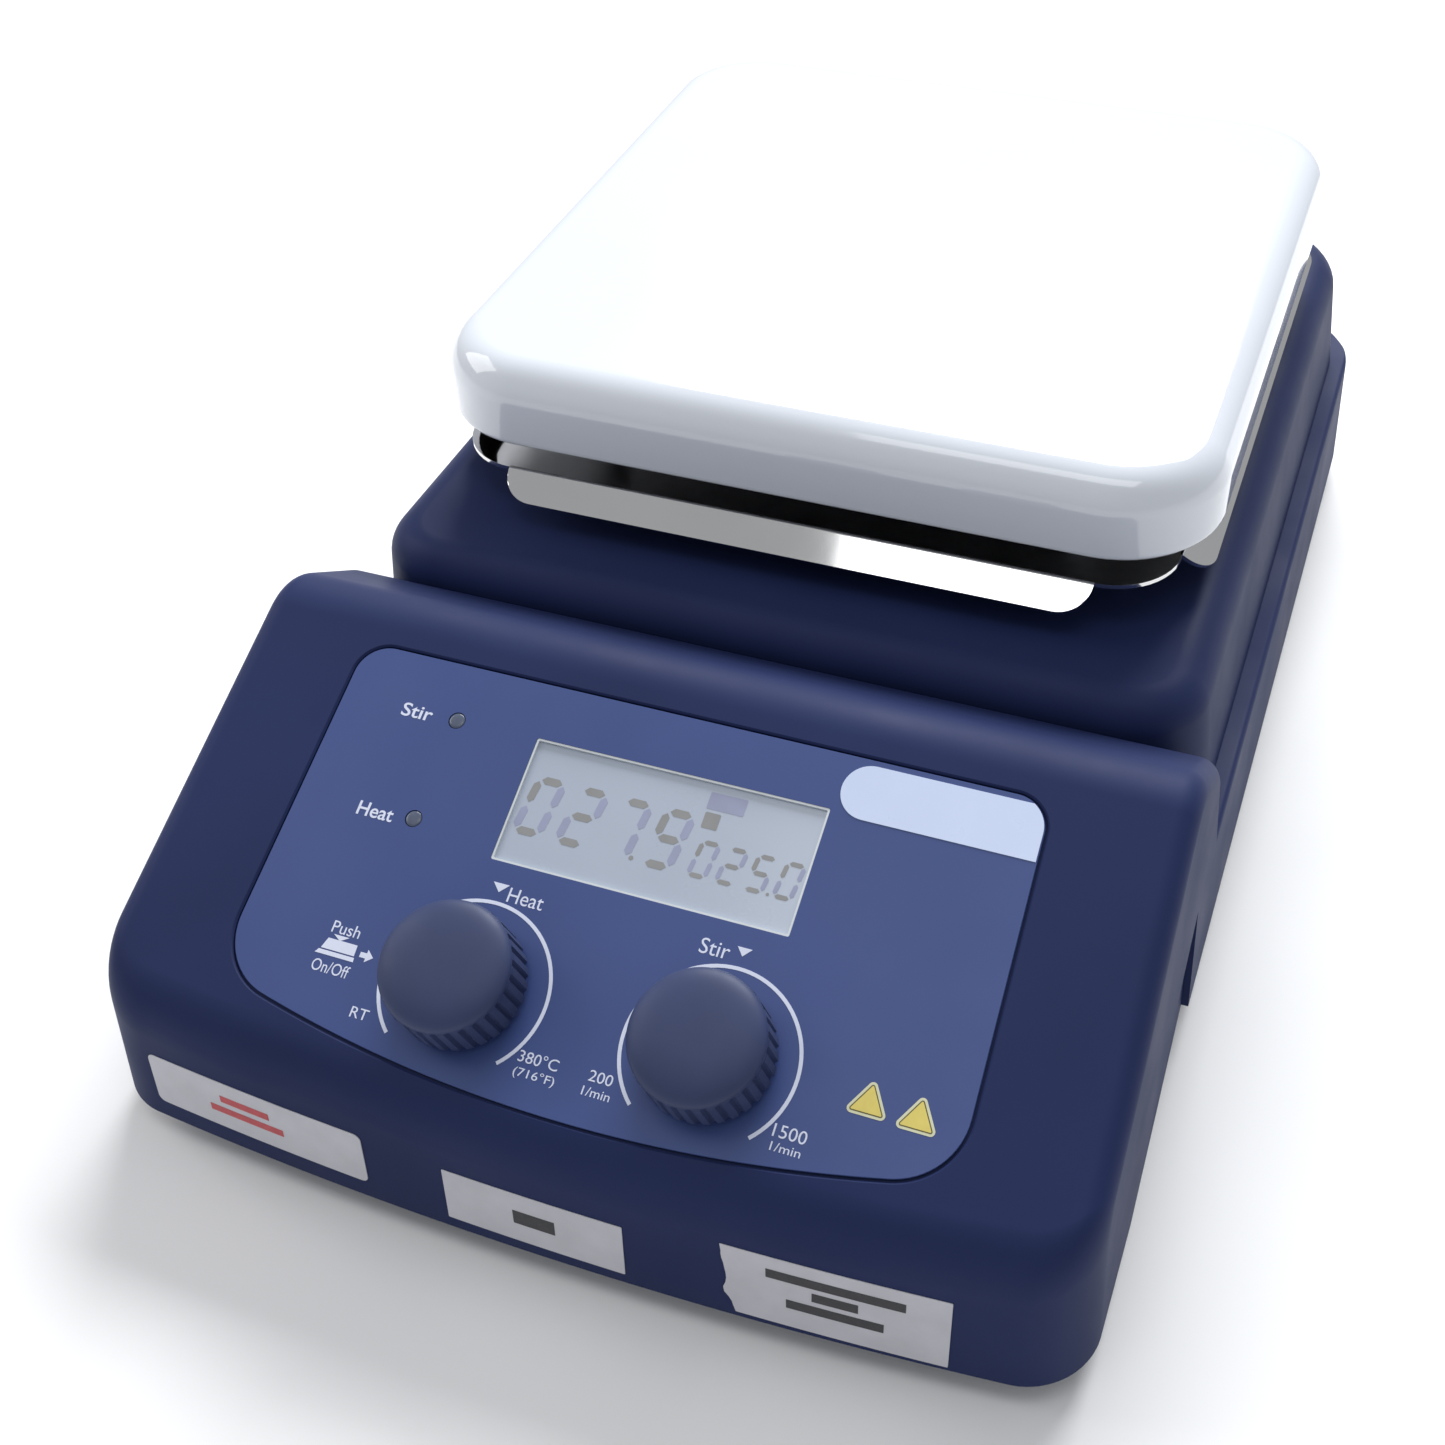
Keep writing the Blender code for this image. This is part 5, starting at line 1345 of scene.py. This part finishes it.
def label_bar(x_low, x_high, z_low, z_high, tilt):
    """A plain printed bar on a label, in mm."""
    def across(place):
        return lambda up: place

    def level(z):
        return lambda x: z + tilt * (x - x_low)

    return front_patch("bar", across(x_low), across(x_high), level(z_low), level(z_high),
                       BAR_LIFT, BAR_THICKNESS, 2, 10)


def make_labels():
    """Paper labels on the front. Their wording is left out: plain bars stand for it."""
    # Left end, right end, low and high edge, tilt, ink, and the bars as left, right, low, high
    labels = [
        (round_end(-91.6, 14.4, 1.6, -1), round_end(-39.5, 14.4, 1.6, 1), 12.3, 26.8, -0.005, RED_INK,
         [(-74, -62, 20.6, 22.6), (-77, -59, 17.0, 19.0)]),
        (round_end(-21.1, 14.8, 0.2, -1), round_end(17.5, 14.8, 0.2, 1), 10.6, 25.4, -0.008, BLACK_INK,
         [(-6.0, 3.0, 16.2, 20.2)]),
        (torn_end(37.6, 4), round_end(82.0, 20, 0.2, 1), 9.5, 29.6, -0.010, BLACK_INK,
         [(46.5, 73.5, 23.4, 26.0), (55.5, 64.5, 19.4, 22.0), (50.5, 69.5, 15.4, 18.0)]),
    ]
    for number, (left, right, low, high, tilt, ink, bars) in enumerate(labels, 1):
        def level(z, tilt=tilt):
            return lambda x: z + tilt * x
        label = front_patch(f"front_label_{number}", left, right, level(low), level(high),
                            PAPER_LIFT, PAPER_THICKNESS)
        smooth(label, 40)
        give(label, "base", PAPER, "panel_film")
        printed = []
        for bar_left, bar_right, bar_low, bar_high in bars:
            lift = tilt * bar_left
            bar = label_bar(bar_left, bar_right, bar_low + lift, bar_high + lift, tilt)
            printed.append(bar)
        give(join(f"label_print_{number}", printed), "base", ink, "panel_film")


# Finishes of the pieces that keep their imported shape

KEPT = {
    ZINC: ("base_pan", "clamp_sheet", "motor_bracket", "motor_shaft", "magnet_carrier", "heat_stem",
           "stir_stem", "serial_socket", "plate_pillar", "foot_screw"),
    DARK_STEEL: ("motor_body",),
    RUBBER: ("foot_front", "foot_rear"),
    BLACK: ("motor_fan", "display_module", "rear_plate", "inlet_socket", "fuse_drawer",
            "heat_encoder", "stir_encoder"),
    FIBRE: ("insulation_pad",),
    MICA: ("heating_element",),
    BOARD: ("control_board", "power_board"),
    NICKEL: ("drive_magnet", "plate_probe", "probe_socket", "inlet_pin", "working_fuse",
             "spare_fuse"),
    COPPER: ("transformer",),
    ALUMINIUM: ("heat_sink",),
}


def finish_kept_nodes():
    for material, starts in KEPT.items():
        for name, piece in NODES.items():
            if name.startswith(starts):
                for slot in piece.material_slots:
                    slot.material = material


# Floor, lights and camera


# Name, place, what it points at, size in metres, watts and colour
LIGHTS = (
    ("overhead", (-0.05, 1.45, 1.38), (0, 0.02, 0.05), (1.4, 0.8), 54, (0.97, 0.985, 1)),
    ("front_top", (0.1, -0.5, 1.7), (0.1, -0.1, 0), (1.06, 0.5), 4, (0.98, 0.99, 1)),
    ("left_side", (-1.3, -0.1, 0.9), (0, 0.0, 0.06), (0.8, 0.8), 6, (1, 0.98, 0.96)),
)
WORLD_COLOUR, WORLD_STRENGTH = (0.95, 0.97, 1, 1), 0.45
CAMERA_PLACE = (0.12505, -0.36703, 0.34791)
CAMERA_LENS, CAMERA_SHIFT, SENSOR_WIDTH = 48.64, (-0.02435, -0.04244), 36


def make_floor():
    deselect()
    bpy.ops.mesh.primitive_plane_add(size=6, location=(0, 0, 0))
    floor = newest("floor")
    material = finish("pale_floor", (0.88, 0.88, 0.885), 0.6, mottle=0.01, mottle_scale=3,
                      grain=(300, 0.05, 0.05))
    floor.data.materials.append(material)


def area_light(name, place, target, size, energy, colour):
    light = bpy.data.lights.new(name, "AREA")
    light.shape = "RECTANGLE"
    light.size, light.size_y = size
    light.energy = energy
    light.color = colour
    made = bpy.data.objects.new(name, light)
    bpy.context.scene.collection.objects.link(made)
    made.location = place
    aim = Vector(target) - Vector(place)
    made.rotation_euler = aim.to_track_quat("-Z", "Y").to_euler()


def make_lights():
    for light in LIGHTS:
        area_light(*light)
    world = bpy.data.worlds.new("studio")
    world.use_nodes = True
    back = world.node_tree.nodes["Background"]
    back.inputs["Color"].default_value = WORLD_COLOUR
    back.inputs["Strength"].default_value = WORLD_STRENGTH
    bpy.context.scene.world = world


def make_camera():
    """Camera above the front right corner, looking down at the plate and panel."""
    right = Vector((0.9360749, 0.35075231, -0.02714033))
    down = Vector((0.20789567, -0.61375738, -0.76163066))
    ahead = Vector((-0.28380129, 0.70730099, -0.64744277))
    lens = bpy.data.cameras.new("camera")
    lens.sensor_width = SENSOR_WIDTH
    lens.lens = CAMERA_LENS
    lens.shift_x, lens.shift_y = CAMERA_SHIFT
    lens.clip_start = 0.01
    camera = bpy.data.objects.new("camera", lens)
    bpy.context.scene.collection.objects.link(camera)
    turn = Matrix((right, -down, -ahead)).transposed().to_4x4()
    camera.matrix_world = Matrix.Translation(CAMERA_PLACE) @ turn
    bpy.context.scene.camera = camera
    bpy.context.scene.view_settings.view_transform = "Standard"


make_housing()
make_plate()
make_shield()
make_film()
make_display()
make_lamps()
make_print()
make_caution_marks()
make_badge()
for knob_name, knob_place in KNOB_PLACES.items():
    make_knob(knob_name, knob_place)
make_labels()
make_rear_plate()
make_inlet()
make_drawer()
make_serial_socket()
make_probe_socket()
make_feet()
finish_kept_nodes()
make_floor()
make_lights()
make_camera()
